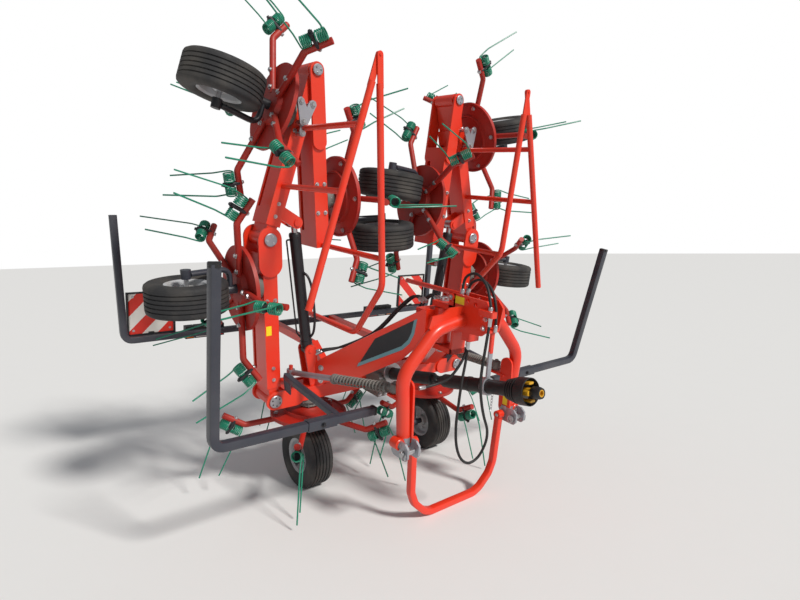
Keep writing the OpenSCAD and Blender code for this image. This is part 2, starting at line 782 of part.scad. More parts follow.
module cylinder_rod() {
    v = cyl_head - cyl_foot;
    u = v / norm(v);
    rod(cyl_foot + 70 * u, cyl_head - 15 * u, cyl_rod_d);
    cross_pin(cyl_head[0], cyl_head[2], cyl_head[1] - 28, cyl_head[1] + 28, 56);
    cross_pin(cyl_head[0], cyl_head[2], cyl_head[1] - 33, cyl_head[1] + 33, cyl_pin_d);
}

module piece(side, colour) {
    color(colour) parked() on_side(side) children();
}

centre_frame();
boom();
drive_gearbox();
union() { leg(ROTOR_A); leg(ROTOR_E); }  // legs_centre
front_guards();
rear_rack();
warning_boards();
lamps();
headstock();
stand();
input_shaft();
pto_shaft();
hose();
piece(-1, steel_grey) damper_barrel();  // damper_barrel_near
piece(-1, pale) damper_rod();  // damper_rod_near
piece(1, steel_grey) damper_barrel();  // damper_barrel_far
piece(1, pale) damper_rod();  // damper_rod_far
piece(-1, black) cylinder_barrel();  // cylinder_barrel_near
piece(-1, pale) cylinder_rod();  // cylinder_rod_near
piece(1, black) cylinder_barrel();  // cylinder_barrel_far
piece(1, pale) cylinder_rod();  // cylinder_rod_far
inner_beam(-1);  // beam_b
middle_beam(-1);  // beam_c
outer_beam(-1);  // beam_d
inner_beam(1);  // beam_f
middle_beam(1);  // beam_g
outer_beam(1);  // beam_h
middle_guard(-1);  // guard_c
outer_guard(-1);  // guard_d_tube
middle_guard(1);  // guard_g
outer_guard(1);  // guard_h
leg(ROTOR_B);  // leg_b
leg(ROTOR_C);  // leg_c
leg(ROTOR_D);  // leg_d_wheel
leg(ROTOR_F);  // leg_f
leg(ROTOR_G);  // leg_g
leg(ROTOR_H);  // leg_h
rotor(ROTOR_A);  // rotor_a
rotor(ROTOR_B);  // rotor_b
rotor(ROTOR_C);  // rotor_c
rotor(ROTOR_D);  // rotor_d
rotor(ROTOR_E);  // rotor_e
rotor(ROTOR_F);  // rotor_f
rotor(ROTOR_G);  // rotor_g
rotor(ROTOR_H);  // rotor_h
wheel(ROTOR_A);  // wheel_a
wheel(ROTOR_B);  // wheel_b
wheel(ROTOR_C);  // wheel_c
wheel(ROTOR_D);  // wheel_d
wheel(ROTOR_E);  // wheel_e
wheel(ROTOR_F);  // wheel_f
wheel(ROTOR_G);  // wheel_g
wheel(ROTOR_H);  // wheel_h
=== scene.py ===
# %% [markdown]
# This lesson dresses a carried hay tedder that stands folded for transport. The construction model
# already holds every moving piece in its place, so the work here is the finish: paint, rubber, bright
# bolts, spring coils, hoses and the small forms that a construction model leaves out.
# Everything is in metres, in the construction model's own frame.

import math

import bpy
import numpy as np
from mathutils import Matrix, Vector


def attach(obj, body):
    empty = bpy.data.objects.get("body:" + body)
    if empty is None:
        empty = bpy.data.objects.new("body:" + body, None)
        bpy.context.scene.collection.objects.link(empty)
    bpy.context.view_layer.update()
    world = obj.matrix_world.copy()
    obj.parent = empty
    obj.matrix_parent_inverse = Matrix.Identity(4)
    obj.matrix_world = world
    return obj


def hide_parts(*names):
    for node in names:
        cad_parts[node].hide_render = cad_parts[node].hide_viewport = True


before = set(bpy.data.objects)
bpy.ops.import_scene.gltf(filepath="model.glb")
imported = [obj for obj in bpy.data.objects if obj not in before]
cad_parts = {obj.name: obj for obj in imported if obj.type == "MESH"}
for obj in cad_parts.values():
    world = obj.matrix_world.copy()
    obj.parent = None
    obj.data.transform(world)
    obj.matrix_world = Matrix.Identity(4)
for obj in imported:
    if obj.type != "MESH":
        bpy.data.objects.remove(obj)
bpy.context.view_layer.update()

# %% [markdown]
# A camera could be placed by eye, but a machine with this many thin tubes shows every degree of
# error. Its place and turn were worked out once from the hinge pins and wheel axles, and are
# written here as a position and the three directions of the view.

# %% Camera
view_right = Vector((0.78098, -0.62426, -0.01928))
view_up = Vector((0.07822, 0.06713, 0.99467))
view_back = view_right.cross(view_up)
camera_data = bpy.data.cameras.new("photo_view")
camera_data.sensor_width = 36
camera_data.lens = 24.07
camera = bpy.data.objects.new("photo_view", camera_data)
turn = Matrix((view_right, view_up, view_back)).transposed().to_4x4()
camera.matrix_world = Matrix.Translation((-2.0536, -2.7173, 1.4916)) @ turn
bpy.context.scene.collection.objects.link(camera)
bpy.context.scene.camera = camera
print("camera", [round(c, 3) for c in camera.matrix_world.translation])

# %% [markdown]
# The machine was drawn level and then leant forward onto its stand loop. Each wing section has its
# own frame: the origin on its inner fold pin, X along the beam, Z out of the side that faces up at
# work. Two helpers give those frames, so a bolt on a beam is placed as on the drawing, and two more
# move a form or turn it about Z.

# %% Frames of the machine and of its wing sections
NOSE_DOWN, SET_BACK = math.radians(7.85), 0.28
PIN_HEIGHT, ROTOR_PITCH, ROTOR_AT = 0.618, 0.943, 0.68
SIDES = ((-1, "near"), (1, "far"))
SECTIONS = ("frame", "inner", "middle", "outer")
FOLDS = [math.radians(degrees) for degrees in (0, 87, 105.5, 265)]
UPRIGHT, ONTO_X = Matrix.Rotation(math.pi / 2, 4, "X"), Matrix.Rotation(math.pi / 2, 4, "Y")
leant = Matrix.Translation((0, SET_BACK, 0)) @ Matrix.Rotation(NOSE_DOWN, 4, "X")
pins = [Vector((pitches * ROTOR_PITCH - ROTOR_AT, 0, PIN_HEIGHT)) for pitches in (0.5, 1.5)]
for fold in FOLDS[1:3]:
    pins.append(pins[-1] + ROTOR_PITCH * Vector((math.cos(fold), 0, math.sin(fold))))


def machine(side=1):
    """Frame of the leant machine, mirrored for the near wing."""
    return leant @ Matrix.Scale(side, 4, (1, 0, 0))


def section(side, number):
    """Frame of one section of a wing, counted from the centre frame (0) outwards."""
    return machine(side) @ Matrix.Translation(pins[number]) @ Matrix.Rotation(-FOLDS[number], 4, "Y")


def body_of(side, number):
    """Name of the body that a section of a wing belongs to."""
    return "frame" if number == 0 else SECTIONS[number] + ("_near" if side < 0 else "_far")


def moved(x, y, z):
    return Matrix.Translation((x, y, z))


def about_z(degrees):
    return Matrix.Rotation(math.radians(degrees), 4, "Z")


print("fold pins", [tuple(round(c, 3) for c in p) for p in pins])

# %% [markdown]
# Nearly all of this machine is bent tube, turned plate and flat plate. Each is made as points and
# faces: a tube is a ring of points carried along a rounded line, a turned form is a profile carried
# round an axis, and a plate is an outline given a thickness.

# %% Tubes


def rounded(points, bend, steps=5):
    """The line through the points with each corner eased to about that radius."""
    line = [Vector(points[0])]
    for before, corner, after in zip(points, points[1:], points[2:]):
        corner = Vector(corner)
        back, ahead = Vector(before) - corner, Vector(after) - corner
        half = max(back.angle(ahead) / 2, 0.05)
        reach = min(bend / math.tan(half), 0.48 * back.length, 0.48 * ahead.length)
        start, end = corner + back.normalized() * reach, corner + ahead.normalized() * reach
        for k in range(steps + 1):
            t = k / steps
            line.append(start * (1 - t) ** 2 + corner * 2 * t * (1 - t) + end * t * t)
    return line + [Vector(points[-1])]


def oval_ring(wide, tall, count):
    """Outline of a pressed tube with these two radii."""
    angles = [2 * math.pi * k / count for k in range(count)]
    return [(wide * math.cos(angle), tall * math.sin(angle)) for angle in angles]


def ring_of(radius, count):
    return oval_ring(radius, radius, count)


def square_ring(width, corner=0.006):
    """Outline of a square tube with rounded corners."""
    half = width / 2 - corner
    out = []
    for k, (x, y) in enumerate([(half, half), (-half, half), (-half, -half), (half, -half)]):
        for turned_by in (0, 45, 90):
            angle = math.radians(90 * k + turned_by)
            out.append((x + corner * math.cos(angle), y + corner * math.sin(angle)))
    return out


def tube(line, outline, up=(0, 0, 1)):
    """Carries an outline along a line, with flat ends."""
    path = np.array([tuple(p) for p in line], float)
    ahead = np.gradient(path, axis=0)
    ahead /= np.linalg.norm(ahead, axis=1)[:, None]
    side = np.cross(ahead[0], np.array(up, float))
    if np.linalg.norm(side) < 0.1:
        side = np.cross(ahead[0], np.array((1.0, 0.0, 0.0)))
    spots = []
    for place, along in zip(path, ahead):
        side = side - along * side.dot(along)
        side /= np.linalg.norm(side)
        rise = np.cross(side, along)
        spots += [place + u * side + v * rise for u, v in outline]
    n, faces = len(outline), []
    for ring in range(len(path) - 1):
        for k in range(n):
            a, b = ring * n + k, ring * n + (k + 1) % n
            faces.append((a, a + n, b + n, b))
    faces.append(tuple(range(n)))
    faces.append(tuple(reversed(range(len(spots) - n, len(spots)))))
    return np.array(spots), faces


print("a rounded corner has", len(rounded([(0, 0, 0), (1, 0, 0), (1, 1, 0)], 0.1)) - 2, "points")

# %% Turned forms and plates


def turned(profile, steps=48, closed=True):
    """Carries a profile of (radius, height) round Z."""
    n, spots, faces = len(profile), [], []
    for k in range(steps):
        angle = 2 * math.pi * k / steps
        spots += [(r * math.cos(angle), r * math.sin(angle), z) for r, z in profile]
    for k in range(steps):
        for j in range(n if closed else n - 1):
            a, b = k * n + j, k * n + (j + 1) % n
            c = (k + 1) % steps * n
            faces.append((a, c + j, c + (j + 1) % n, b))
    if not closed:
        faces.append(tuple(k * n for k in reversed(range(steps))))
        faces.append(tuple(k * n + n - 1 for k in range(steps)))
    return np.array(spots), faces


def drum(radius, low, high, steps):
    """Solid round bar between two heights."""
    return turned([(0, low), (radius, low), (radius, high), (0, high)], steps, closed=False)


def bush(inner, outer, low, high, steps):
    """Hollow round bar between two heights."""
    return turned([(inner, low), (outer, low), (outer, high), (inner, high)], steps)


def oblong(left, low, right, high):
    """Outline of an oblong."""
    return [(left, low), (right, low), (right, high), (left, high)]


def plate(outline, low, high):
    """Flat plate of an outline in X and Y, between two heights."""
    n = len(outline)
    spots = [(x, y, low) for x, y in outline] + [(x, y, high) for x, y in outline]
    faces = [tuple(reversed(range(n))), tuple(range(n, 2 * n))]
    faces += [(k, (k + 1) % n, (k + 1) % n + n, k + n) for k in range(n)]
    return np.array(spots, float), faces


def block(low, high, trim=0.004):
    """Box between two corners with its upright edges trimmed."""
    (x0, y0, z0), (x1, y1, z1) = low, high
    outline = [(x0 + trim, y0), (x1 - trim, y0), (x1, y0 + trim), (x1, y1 - trim),
        (x1 - trim, y1), (x0 + trim, y1), (x0, y1 - trim), (x0, y0 + trim)]
    return plate(outline, z0, z1)


def stadium(a, b, radius, count=10):
    """Outline with round heads at two points."""
    a, b = Vector(a), Vector(b)
    angle = math.atan2(b.y - a.y, b.x - a.x)
    out = []
    for centre, start in ((b, angle - math.pi / 2), (a, angle + math.pi / 2)):
        for k in range(count + 1):
            swung = start + math.pi * k / count
            out.append((centre.x + radius * math.cos(swung), centre.y + radius * math.sin(swung)))
    return out


def facing(at, direction):
    """Puts a form drawn along Z at a place, pointing along a direction."""
    return Matrix.Translation(at) @ Vector(direction).to_track_quat("Z", "Y").to_matrix().to_4x4()


def across_y(y):
    """Puts a plate drawn in X and Y upright in X and Z at a distance y."""
    return moved(0, y, 0) @ UPRIGHT


print("a hinge head has", len(stadium((0, 0), (1, 0), 0.1)), "points")

# %% [markdown]
# A casting on this object is one mesh with one finish and rides on one body. Collecting forms
# first and making the mesh at the end keeps the number of pieces small and the script quick.
# A mirrored frame turns faces inside out, so their order is reversed there.

# %% Collecting forms into one piece
total = {"pieces": 0, "triangles": 0}


class Piece:
    """Forms that become one mesh with one finish on one body."""

    def __init__(self):
        self.spots, self.faces, self.count = [], [], 0

    def add(self, form, place=None):
        spots, faces = form
        if place is not None:
            grid = np.array(place)
            spots = spots @ grid[:3, :3].T + grid[:3, 3]
            if place.determinant() < 0:
                faces = [tuple(reversed(f)) for f in faces]
        self.spots.append(spots)
        self.faces += [tuple(i + self.count for i in f) for f in faces]
        self.count += len(spots)
        return self

    def done(self, name, body, finish, slot, *stands_for, crease=35):
        """Makes the mesh, ties it to its body and hides the construction nodes that it replaces."""
        mesh = bpy.data.meshes.new(name)
        mesh.from_pydata(np.concatenate(self.spots).tolist(), [], self.faces)
        mesh.materials.append(finish)
        mesh.polygons.foreach_set("use_smooth", [True] * len(mesh.polygons))
        mesh.set_sharp_from_angle(angle=math.radians(crease))
        made = bpy.data.objects.new(name, mesh)
        bpy.context.scene.collection.objects.link(made)
        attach(made, body)
        if stands_for:
            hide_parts(*stands_for)
        total["pieces"] += 1
        total["triangles"] += sum(len(f) - 2 for f in self.faces)
        return made


print("ready to collect")

# %% [markdown]
# Paint on farm machinery is never one flat colour. It fades a little in the sun, holds dust in thin
# clouds and shines unevenly where it was handled. Two sizes of noise do this: a broad one shifts the
# colour, a fine one shifts the roughness and gives a faint orange-peel bump.

# %% Finishes
CLOUD_FROM, CLOUD_TO, BUMP_HEIGHT, COAT_ROUGHNESS = 0.42, 0.8, 0.002, 0.25


def shade(red, green, blue):
    """A colour as it is seen on a screen, turned into the light values that a shader takes."""
    parts = [c / 255 for c in (red, green, blue)]
    return tuple(((c + 0.055) / 1.055) ** 2.4 if c > 0.04 else c / 12.92 for c in parts) + (1,)


def finish(name, colour, dusty, rough, metal=0.0, bump=0.1, grain=90.0, cloud=5.0, amount=0.35, coat=0.0):
    """A finish whose colour drifts towards a dusty one in broad clouds."""
    material = bpy.data.materials.new(name)
    material.use_nodes = True
    nodes, links = material.node_tree.nodes, material.node_tree.links
    shader = nodes["Principled BSDF"]
    place = nodes.new("ShaderNodeTexCoord")
    broad, fine = nodes.new("ShaderNodeTexNoise"), nodes.new("ShaderNodeTexNoise")
    broad.inputs["Scale"].default_value = cloud
    broad.inputs["Detail"].default_value = 6
    fine.inputs["Scale"].default_value = grain
    fine.inputs["Detail"].default_value = 3
    mix = nodes.new("ShaderNodeMix")
    mix.data_type = "RGBA"
    mix.inputs["A"].default_value = shade(*colour)
    mix.inputs["B"].default_value = shade(*dusty)
    reach = nodes.new("ShaderNodeMapRange")
    reach.inputs["From Min"].default_value, reach.inputs["From Max"].default_value = CLOUD_FROM, CLOUD_TO
    reach.inputs["To Max"].default_value = amount
    gloss = nodes.new("ShaderNodeMapRange")
    gloss.inputs["To Min"].default_value = rough * 0.8
    gloss.inputs["To Max"].default_value = min(rough * 1.25, 1)
    raised = nodes.new("ShaderNodeBump")
    raised.inputs["Strength"].default_value = bump
    raised.inputs["Distance"].default_value = BUMP_HEIGHT
    links.new(place.outputs["Object"], broad.inputs["Vector"])
    links.new(place.outputs["Object"], fine.inputs["Vector"])
    links.new(broad.outputs["Fac"], reach.inputs["Value"])
    links.new(reach.outputs["Result"], mix.inputs["Factor"])
    links.new(mix.outputs["Result"], shader.inputs["Base Color"])
    links.new(fine.outputs["Fac"], gloss.inputs["Value"])
    links.new(gloss.outputs["Result"], shader.inputs["Roughness"])
    links.new(fine.outputs["Fac"], raised.inputs["Height"])
    links.new(raised.outputs["Normal"], shader.inputs["Normal"])
    shader.inputs["Metallic"].default_value = metal
    shader.inputs["Coat Weight"].default_value = coat
    shader.inputs["Coat Roughness"].default_value = COAT_ROUGHNESS
    return material


orange_paint = finish("orange_paint", (224, 46, 18), (204, 74, 44), 0.36, coat=0.25, amount=0.5)
# The rotors carry the frame's orange-red paint, a little redder. The darker colour given here is painted
# shade for rotors that stand in shadow.
rotor_paint_with_painted_shade = finish("rotor_paint_with_painted_shade", (168, 32, 20), (132, 54, 42), 0.5, amount=0.7, cloud=9)
guard_paint = finish("guard_paint", (46, 49, 60), (84, 84, 88), 0.42, amount=0.5, coat=0.15)
casting_grey = finish("casting_grey", (118, 116, 112), (92, 84, 72), 0.6, amount=0.6, bump=0.35)
black_paint = finish("black_paint", (27, 28, 33), (60, 61, 66), 0.42, amount=0.35)
black_plastic = finish("black_plastic", (22, 22, 24), (56, 54, 50), 0.5, bump=0.3, grain=240)
bright_steel = finish("bright_steel", (196, 197, 200), (140, 134, 122), 0.3, metal=0.9, bump=0.05)
link_zinc = finish("link_zinc", (168, 170, 178), (138, 132, 122), 0.42, metal=0.65)
tine_green = finish("tine_green", (14, 128, 100), (40, 104, 84), 0.4, amount=0.45, cloud=14, coat=0.2)
tyre_rubber = finish("tyre_rubber", (40, 40, 42), (104, 98, 90), 0.75, bump=0.5, grain=160, cloud=7,
    amount=0.55)
rim_paint = finish("rim_paint", (176, 178, 182), (130, 122, 108), 0.5, amount=0.6, cloud=12)
hose_rubber = finish("hose_rubber", (26, 26, 28), (52, 50, 48), 0.55, bump=0.2, grain=300)
print("finishes", len(bpy.data.materials))

# %% [markdown]
# One hydraulic hose hangs free at the headstock. It leaves a lug on the head, drops in a long loop
# and comes back up between the head plates. Its line was settled with the construction model, so
# the same points are eased here with the same curve.

# %% Hanging hose
HOSE_WIDTH = 0.015
hose_points = [
    (-0.078, -1.062, 1.285), (-0.080, -1.062, 1.240), (-0.088, -1.062, 1.150), (-0.098, -1.060, 1.010),
    (-0.092, -1.058, 0.920), (-0.060, -1.050, 0.820), (-0.015, -1.035, 0.735), (0.040, -1.020, 0.640),
    (0.055, -1.005, 0.555), (0.025, -0.990, 0.475), (-0.035, -0.980, 0.450), (-0.095, -0.975, 0.490),
    (-0.128, -0.965, 0.570), (-0.135, -0.955, 0.680), (-0.115, -0.940, 0.800), (-0.085, -0.920, 0.910),
    (-0.050, -0.900, 1.000), (-0.030, -0.885, 1.060), (-0.028, -0.885, 1.110)]


def eased(points, steps=6):
    """A smooth line that passes through every point."""
    spots = [Vector(p) for p in points]
    line = []
    for i in range(len(spots) - 1):
        a, b, c, d = spots[max(i - 1, 0)], spots[i], spots[i + 1], spots[min(i + 2, len(spots) - 1)]
        for k in range(steps):
            t = k / steps
            second, third = 2 * a - 5 * b + 4 * c - d, 3 * b - a - 3 * c + d
            line.append(0.5 * (2 * b + (c - a) * t + second * t * t + third * t ** 3))
    return line + [spots[-1]]


hose_line = [leant @ p for p in eased(hose_points)]
hose_curve = bpy.data.curves.new("hanging_hose", "CURVE")
hose_curve.dimensions = "3D"
hose_curve.bevel_depth = HOSE_WIDTH / 2
hose_curve.bevel_resolution = 4
hose_curve.use_fill_caps = True
run = hose_curve.splines.new("POLY")
run.points.add(len(hose_line) - 1)
for spot, place in zip(run.points, hose_line):
    spot.co = (*place, 1)
hose_curve.materials.append(hose_rubber)
hose = bpy.data.objects.new("hanging_hose", hose_curve)
bpy.context.scene.collection.objects.link(hose)
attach(hose, "headstock")
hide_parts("hose")

# %% [markdown]
# The eight tined rotors carry the look of the whole machine. A rotor is a pressed plate with a
# collar and a turned-up rim, five bent tube arms bolted under it, and on each arm two coils of
# spring wire that run on into a long prong. The wire is one swept line from coil to tip, because a
# separate coil and prong would show a joint where the real wire simply keeps going.

# %% Places of the eight rotors
ROTORS = {  # side, section, first arm, sense, wheel shift, leg side, hanger depth, hanger thickness
    "a": (-1, 0, 18, 1, 0.025, -1, 0.192, 0.014), "b": (-1, 1, 54, -1, 0.0, 1, 0.207, 0.030),
    "c": (-1, 2, 18, 1, 0.0, -1, 0.207, 0.030), "d": (-1, 3, 54, -1, 0.25, -1, 0.230, 0.030),
    "e": (1, 0, 54, -1, 0.025, -1, 0.192, 0.014), "f": (1, 1, 18, 1, 0.0, 1, 0.207, 0.030),
    "g": (1, 2, 54, -1, 0.0, -1, 0.207, 0.030), "h": (1, 3, 18, 1, -0.065, -1, 0.207, 0.030)}
COIL_AT, COIL_DROP, COIL_LENGTH, COIL_GAP = 0.470, 0.208, 0.060, 0.011
WIRE, COIL_RADIUS, TURNS, COIL_TILT = 0.0086, 0.0267, 5, math.radians(30)
TIP_AT, TIP_APART, TIP_DROP = 0.593, 0.111, 0.502


def rotor_frame(letter):
    """Frame of one rotor: its own axis, at the height of the fold pins."""
    side, number = ROTORS[letter][:2]
    return section(side, number) @ moved(ROTOR_AT, 0, 0)


print("rotor axes", {k: tuple(round(c, 2) for c in rotor_frame(k).translation) for k in ROTORS})

# %% Spring coil and prong, as one wire
coil_place = moved(COIL_AT, 0, -COIL_DROP) @ Matrix.Rotation(-COIL_TILT, 4, "Y")


def spring_wire(end, sense):
    """Coil on the inner (-1) or outer (1) side of the clamp, and its prong."""
    line, last, steps = [], math.pi if sense > 0 else 0.0, 12 * TURNS
    for k in range(steps + 1):
        angle = last - sense * 2 * math.pi * TURNS * (1 - k / steps)
        along = end * (COIL_GAP + WIRE / 2 + (COIL_LENGTH - WIRE) * k / steps)
        around = (COIL_RADIUS * math.cos(angle), COIL_RADIUS * math.sin(angle))
        line.append(coil_place @ Vector((along, *around)))
    foot = line[-1]
    away = coil_place.to_3x3() @ Vector((0, 0, -0.075))
    tip = Vector((TIP_AT + end * TIP_APART / 2, -sense * 0.030, -TIP_DROP))
    prong = rounded([foot, foot + away, tip], 0.14, 4)
    return tube(line + prong[1:], ring_of(WIRE / 2, 6))


print("faces in a wire", len(spring_wire(1, 1)[1]))

# %% [markdown]
# Bolts hold nearly every joint of this machine, and they all look alike, so one small function
# makes a head with its washer in whatever size is asked for.

# %% Bolts


def bolt(radius=0.012, head=0.009, washer=0.003):
    """Hexagon head with a washer, pointing along Z."""
    wide, high = radius * 1.35, washer + head
    ring = turned([(0, 0), (wide, 0), (wide, washer), (radius * 0.9, washer)], 20, closed=False)
    top = turned([(radius, washer), (radius, washer + head * 0.8), (radius * 0.86, high)], 6, closed=False)
    count = len(ring[0])
    return np.concatenate([ring[0], top[0]]), ring[1] + [tuple(i + count for i in f) for f in top[1]]


print("a bolt has", len(bolt()[1]), "faces")

# %% Rotor plate, arms and wires
RIM_RADIUS, ARMS = 0.235, 5
plate_profile = [(0.027, -0.105), (0.058, -0.105), (0.072, -0.118), (0.140, -0.130), (0.146, -0.113),
    (0.154, -0.113), (0.157, -0.132), (0.220, -0.146), (0.227, -0.137), (RIM_RADIUS, -0.137),
    (RIM_RADIUS, -0.158), (0.226, -0.158), (0.100, -0.148), (0.088, -0.174), (0.027, -0.175)]
arm_outline = oval_ring(0.018, 0.0165, 14)
arm_line = rounded([(0.075, 0, -0.160), (0.385, 0, -0.200), (0.512, 0, -0.127)], 0.04)

for letter, (_, _, first, sense, *_) in ROTORS.items():
    plates, wires, bolts, clamps = Piece(), Piece(), Piece(), Piece()
    here, body = rotor_frame(letter), "rotor_" + letter
    plates.add(turned(plate_profile, 60), here)
    for k in range(ARMS):
        arm = here @ about_z(first + 360 / ARMS * k)
        clamp = arm @ coil_place
        plates.add(tube(arm_line, arm_outline, up=(0, 1, 0)), arm)
        clamps.add(block((-0.009, -0.017, -0.034), (0.009, 0.017, 0.052), 0.003), clamp)
        clamps.add(bolt(0.0085), clamp @ facing((0, 0, -0.034), (0, 0, -1)))
        bolts.add(bolt(0.010), clamp @ facing((0, 0, 0.064), (0, 0, 1)))
        for along, height, way in ((0.200, -0.190, -1), (0.200, -0.142, 1), (0.105, -0.178, -1)):
            bolts.add(bolt(0.011), arm @ facing((along, 0, height), (0, 0, way)))
        for end in (-1, 1):
            wires.add(spring_wire(end, sense), arm)
    # The plates and arms take the rotor paint darkened as painted shade.
    plates.done(body + "_plate_and_arms", body, rotor_paint_with_painted_shade, "dark_red_paint", body)
    wires.done(body + "_spring_prongs", body, tine_green, "bright_steel", crease=60)
    bolts.done(body + "_bolts", body, bright_steel, "bright_steel")
    clamps.done(body + "_coil_clamps", body, black_paint, "black_paint")
print("after the rotors", total)

# %% [markdown]
# The tyres are ribbed: five grooves run round the tread, the shoulders are soft and the side bulges
# over a painted rim. Carrying one closed profile round the axle gives all of that at once.

# %% Wheels
TYRE_R, TREAD_R, WHEEL_AHEAD, WING_DROP = 0.203, 0.202, 0.040, 0.445
TREAD_EDGE, GROOVE_DEPTH, GROOVES = 0.058, 0.006, (-0.044, -0.022, 0.0, 0.022, 0.044)
ground_axle = (TYRE_R + WHEEL_AHEAD * math.sin(NOSE_DOWN)) / math.cos(NOSE_DOWN)
side_wall = [(0.199, 0.069), (0.189, 0.077), (0.168, 0.0818), (0.146, 0.0815), (0.124, 0.077), (0.112, 0.070),
    (0.108, 0.066), (0.100, 0.060)]
rim_half = [(0.0128, -0.05), (0.036, -0.05), (0.038, -0.024), (0.060, -0.016), (0.088, -0.024),
    (0.096, -0.058), (0.109, -0.068), (0.109, -0.064), (0.101, -0.056)]


def mirrored(half):
    """The same points on the other side, in the order that closes a profile."""
    return [(radius, -across) for radius, across in reversed(half)]


def tyre_profile():
    tread, low = [(TREAD_R, -TREAD_EDGE)], TREAD_R - GROOVE_DEPTH
    for groove in GROOVES:
        tread += [(TREAD_R, groove - 0.0035), (low, groove - 0.002)]
        tread += [(low, groove + 0.002), (TREAD_R, groove + 0.0035)]
    return tread + [(TREAD_R, TREAD_EDGE)] + side_wall + mirrored(side_wall)


def axle_drop(letter):
    """How far the axle lies below the fold pin: the two level rotors carry the machine."""
    return PIN_HEIGHT - ground_axle if ROTORS[letter][1] == 0 else WING_DROP


for letter, (*_, shift, _, _, _) in ROTORS.items():
    here = rotor_frame(letter) @ moved(shift, -WHEEL_AHEAD, -axle_drop(letter)) @ ONTO_X
    body, tyre, rim, bolts = "wheel_" + letter, Piece(), Piece(), Piece()
    tyre.add(turned(tyre_profile(), 72), here)
    tyre.done(body + "_tyre", body, tyre_rubber, "tyre_rubber", body, crease=40)
    rim.add(turned(rim_half + mirrored(rim_half), 48), here)
    rim.done(body + "_rim", body, rim_paint, "bright_steel")
    for k in range(4):
        for out in (-1, 1):
            bolts.add(bolt(0.008), here @ about_z(90 * k) @ facing((0.062, 0, out * 0.0165), (0, 0, out)))
    bolts.done(body + "_bolts", body, bright_steel, "bright_steel")
print("after the wheels", total)

# %% [markdown]
# Where the construction model's form is already right, a finish and a small rounding of the sharp
# edges are enough. A real folded or welded beam has no knife edge, and the thin bright line that a
# rounded edge catches is what makes it read as metal.

# %% Finishes on the construction model


def coat(made, *names, soften=0.003):
    """Gives construction nodes a finish and, where soften isn't 0, rounds their sharp edges."""
    for name in names:
        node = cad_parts[name]
        if not node.material_slots:
            node.data.materials.append(made)
        for place in node.material_slots:
            place.material = made
        if soften:
            edge = node.modifiers.new("soft_edge", "BEVEL")
            edge.width = soften
            edge.segments = 2
            edge.limit_method = "ANGLE"
            edge.angle_limit = math.radians(50)


coat(orange_paint, "centre_frame", "boom", *["beam_" + k for k in "bcdfgh"])
coat(orange_paint, "guard_c", "guard_g", soften=0)
coat(casting_grey, "drive_gearbox")
print("coated nodes, triangles so far", total)

# %% [markdown]
# Each wheel hangs on a bent tube that leaves the fixed post under its rotor, so the wheel runs
# inside the circle of the prongs. On the wings the tube is pressed oval where it passes between the
# arms and the ground; the level rotors carry a flat hanger and a round tube. The gearbox on top of
# the post is a casting with a bolted flange.

# %% Legs and rotor gearboxes
LEG, POST, AXLE, TYRE_WIDTH, TYRE_ROOM, HUB_HALF = 0.042, 0.050, 0.025, 0.165, 0.010, 0.024
gearbox_profile = [(0.026, -0.103), (0.046, -0.103), (0.056, -0.094), (0.052, -0.074), (0.069, -0.066),
    (0.069, -0.043), (0.026, -0.043)]
special_nodes = {"a": ["legs_centre"], "d": ["leg_d_wheel"], "e": []}
for letter, (side, number, _, _, shift, leg_side, depth, thick) in ROTORS.items():
    here, drop, body = rotor_frame(letter), axle_drop(letter), body_of(side, number)
    beside = shift + leg_side * (TYRE_WIDTH / 2 + TYRE_ROOM + LEG / 2)
    hub = here @ (moved(0, -WHEEL_AHEAD, -drop) @ ONTO_X)
    casting, leg, fixings = Piece(), Piece(), Piece()
    casting.add(turned(gearbox_profile, 40), here)
    for k in range(6):
        lug = here @ about_z(60 * k + 30)
        fixings.add(bolt(0.006, 0.006, 0.002), lug @ facing((0.061, 0, -0.0655), (0, 0, -1)))
        casting.add(block((0.044, -0.004, -0.098), (0.060, 0.004, -0.066), 0.001), lug @ about_z(30))
    low, high = -depth - thick / 2, -depth + thick / 2
    leg.add(drum(POST / 2, low, -0.100, 28), here)
    if number == 0:
        leg.add(plate(stadium((0, 0), (beside, 0), 0.027), low, high), here)
        line = [(beside, 0, -depth), (beside, -WHEEL_AHEAD, -drop), (shift, -WHEEL_AHEAD, -drop)]
        leg.add(tube(rounded(line, 0.030), ring_of(LEG / 2 * 0.9, 18)), here)
    else:
        line = [(0, 0, -depth), (beside, 0, -depth), (beside, -WHEEL_AHEAD, -drop + 0.02)]
        leg.add(tube(rounded(line, 0.055, 8), oval_ring(LEG / 2, thick / 2, 20)), here)
    inner, outer = beside - HUB_HALF, beside + HUB_HALF
    leg.add(turned([(0, inner), (0.024, inner), (0.026, outer), (0, outer)], 20, closed=False), hub)
    inner, outer = sorted((beside, shift - leg_side * 0.058))
    fixings.add(drum(AXLE / 2 - 0.0005, inner, outer, 20), hub)
    nut_at = (shift - leg_side * 0.052, -WHEEL_AHEAD, -drop)
    fixings.add(bolt(0.018, 0.012, 0.003), here @ facing(nut_at, (-leg_side, 0, 0)))
    stands_for = special_nodes.get(letter, ["leg_" + letter])
    # The legs of a and c are painted black in place of the blue-grey paint on the other legs. On the leg of c
    # this black is painted shade.
    paint = black_paint if letter in "ac" else guard_paint
    leg.done("leg_" + letter, body, paint, "blue_grey_paint", *stands_for)
    casting.done("rotor_gearbox_" + letter, body, casting_grey, "grey_casting")
    fixings.done("leg_fixings_" + letter, body, bright_steel, "bright_steel")
print("after the legs", total)

# %% [markdown]
# Three kinds of guard surround the machine. Square tubes with rounded corners stand at the front and
# rear corners, and a round tube runs ahead of the outer rotors and bends back round them. The square
# guard slides in a sleeve, with a row of holes for its pin.

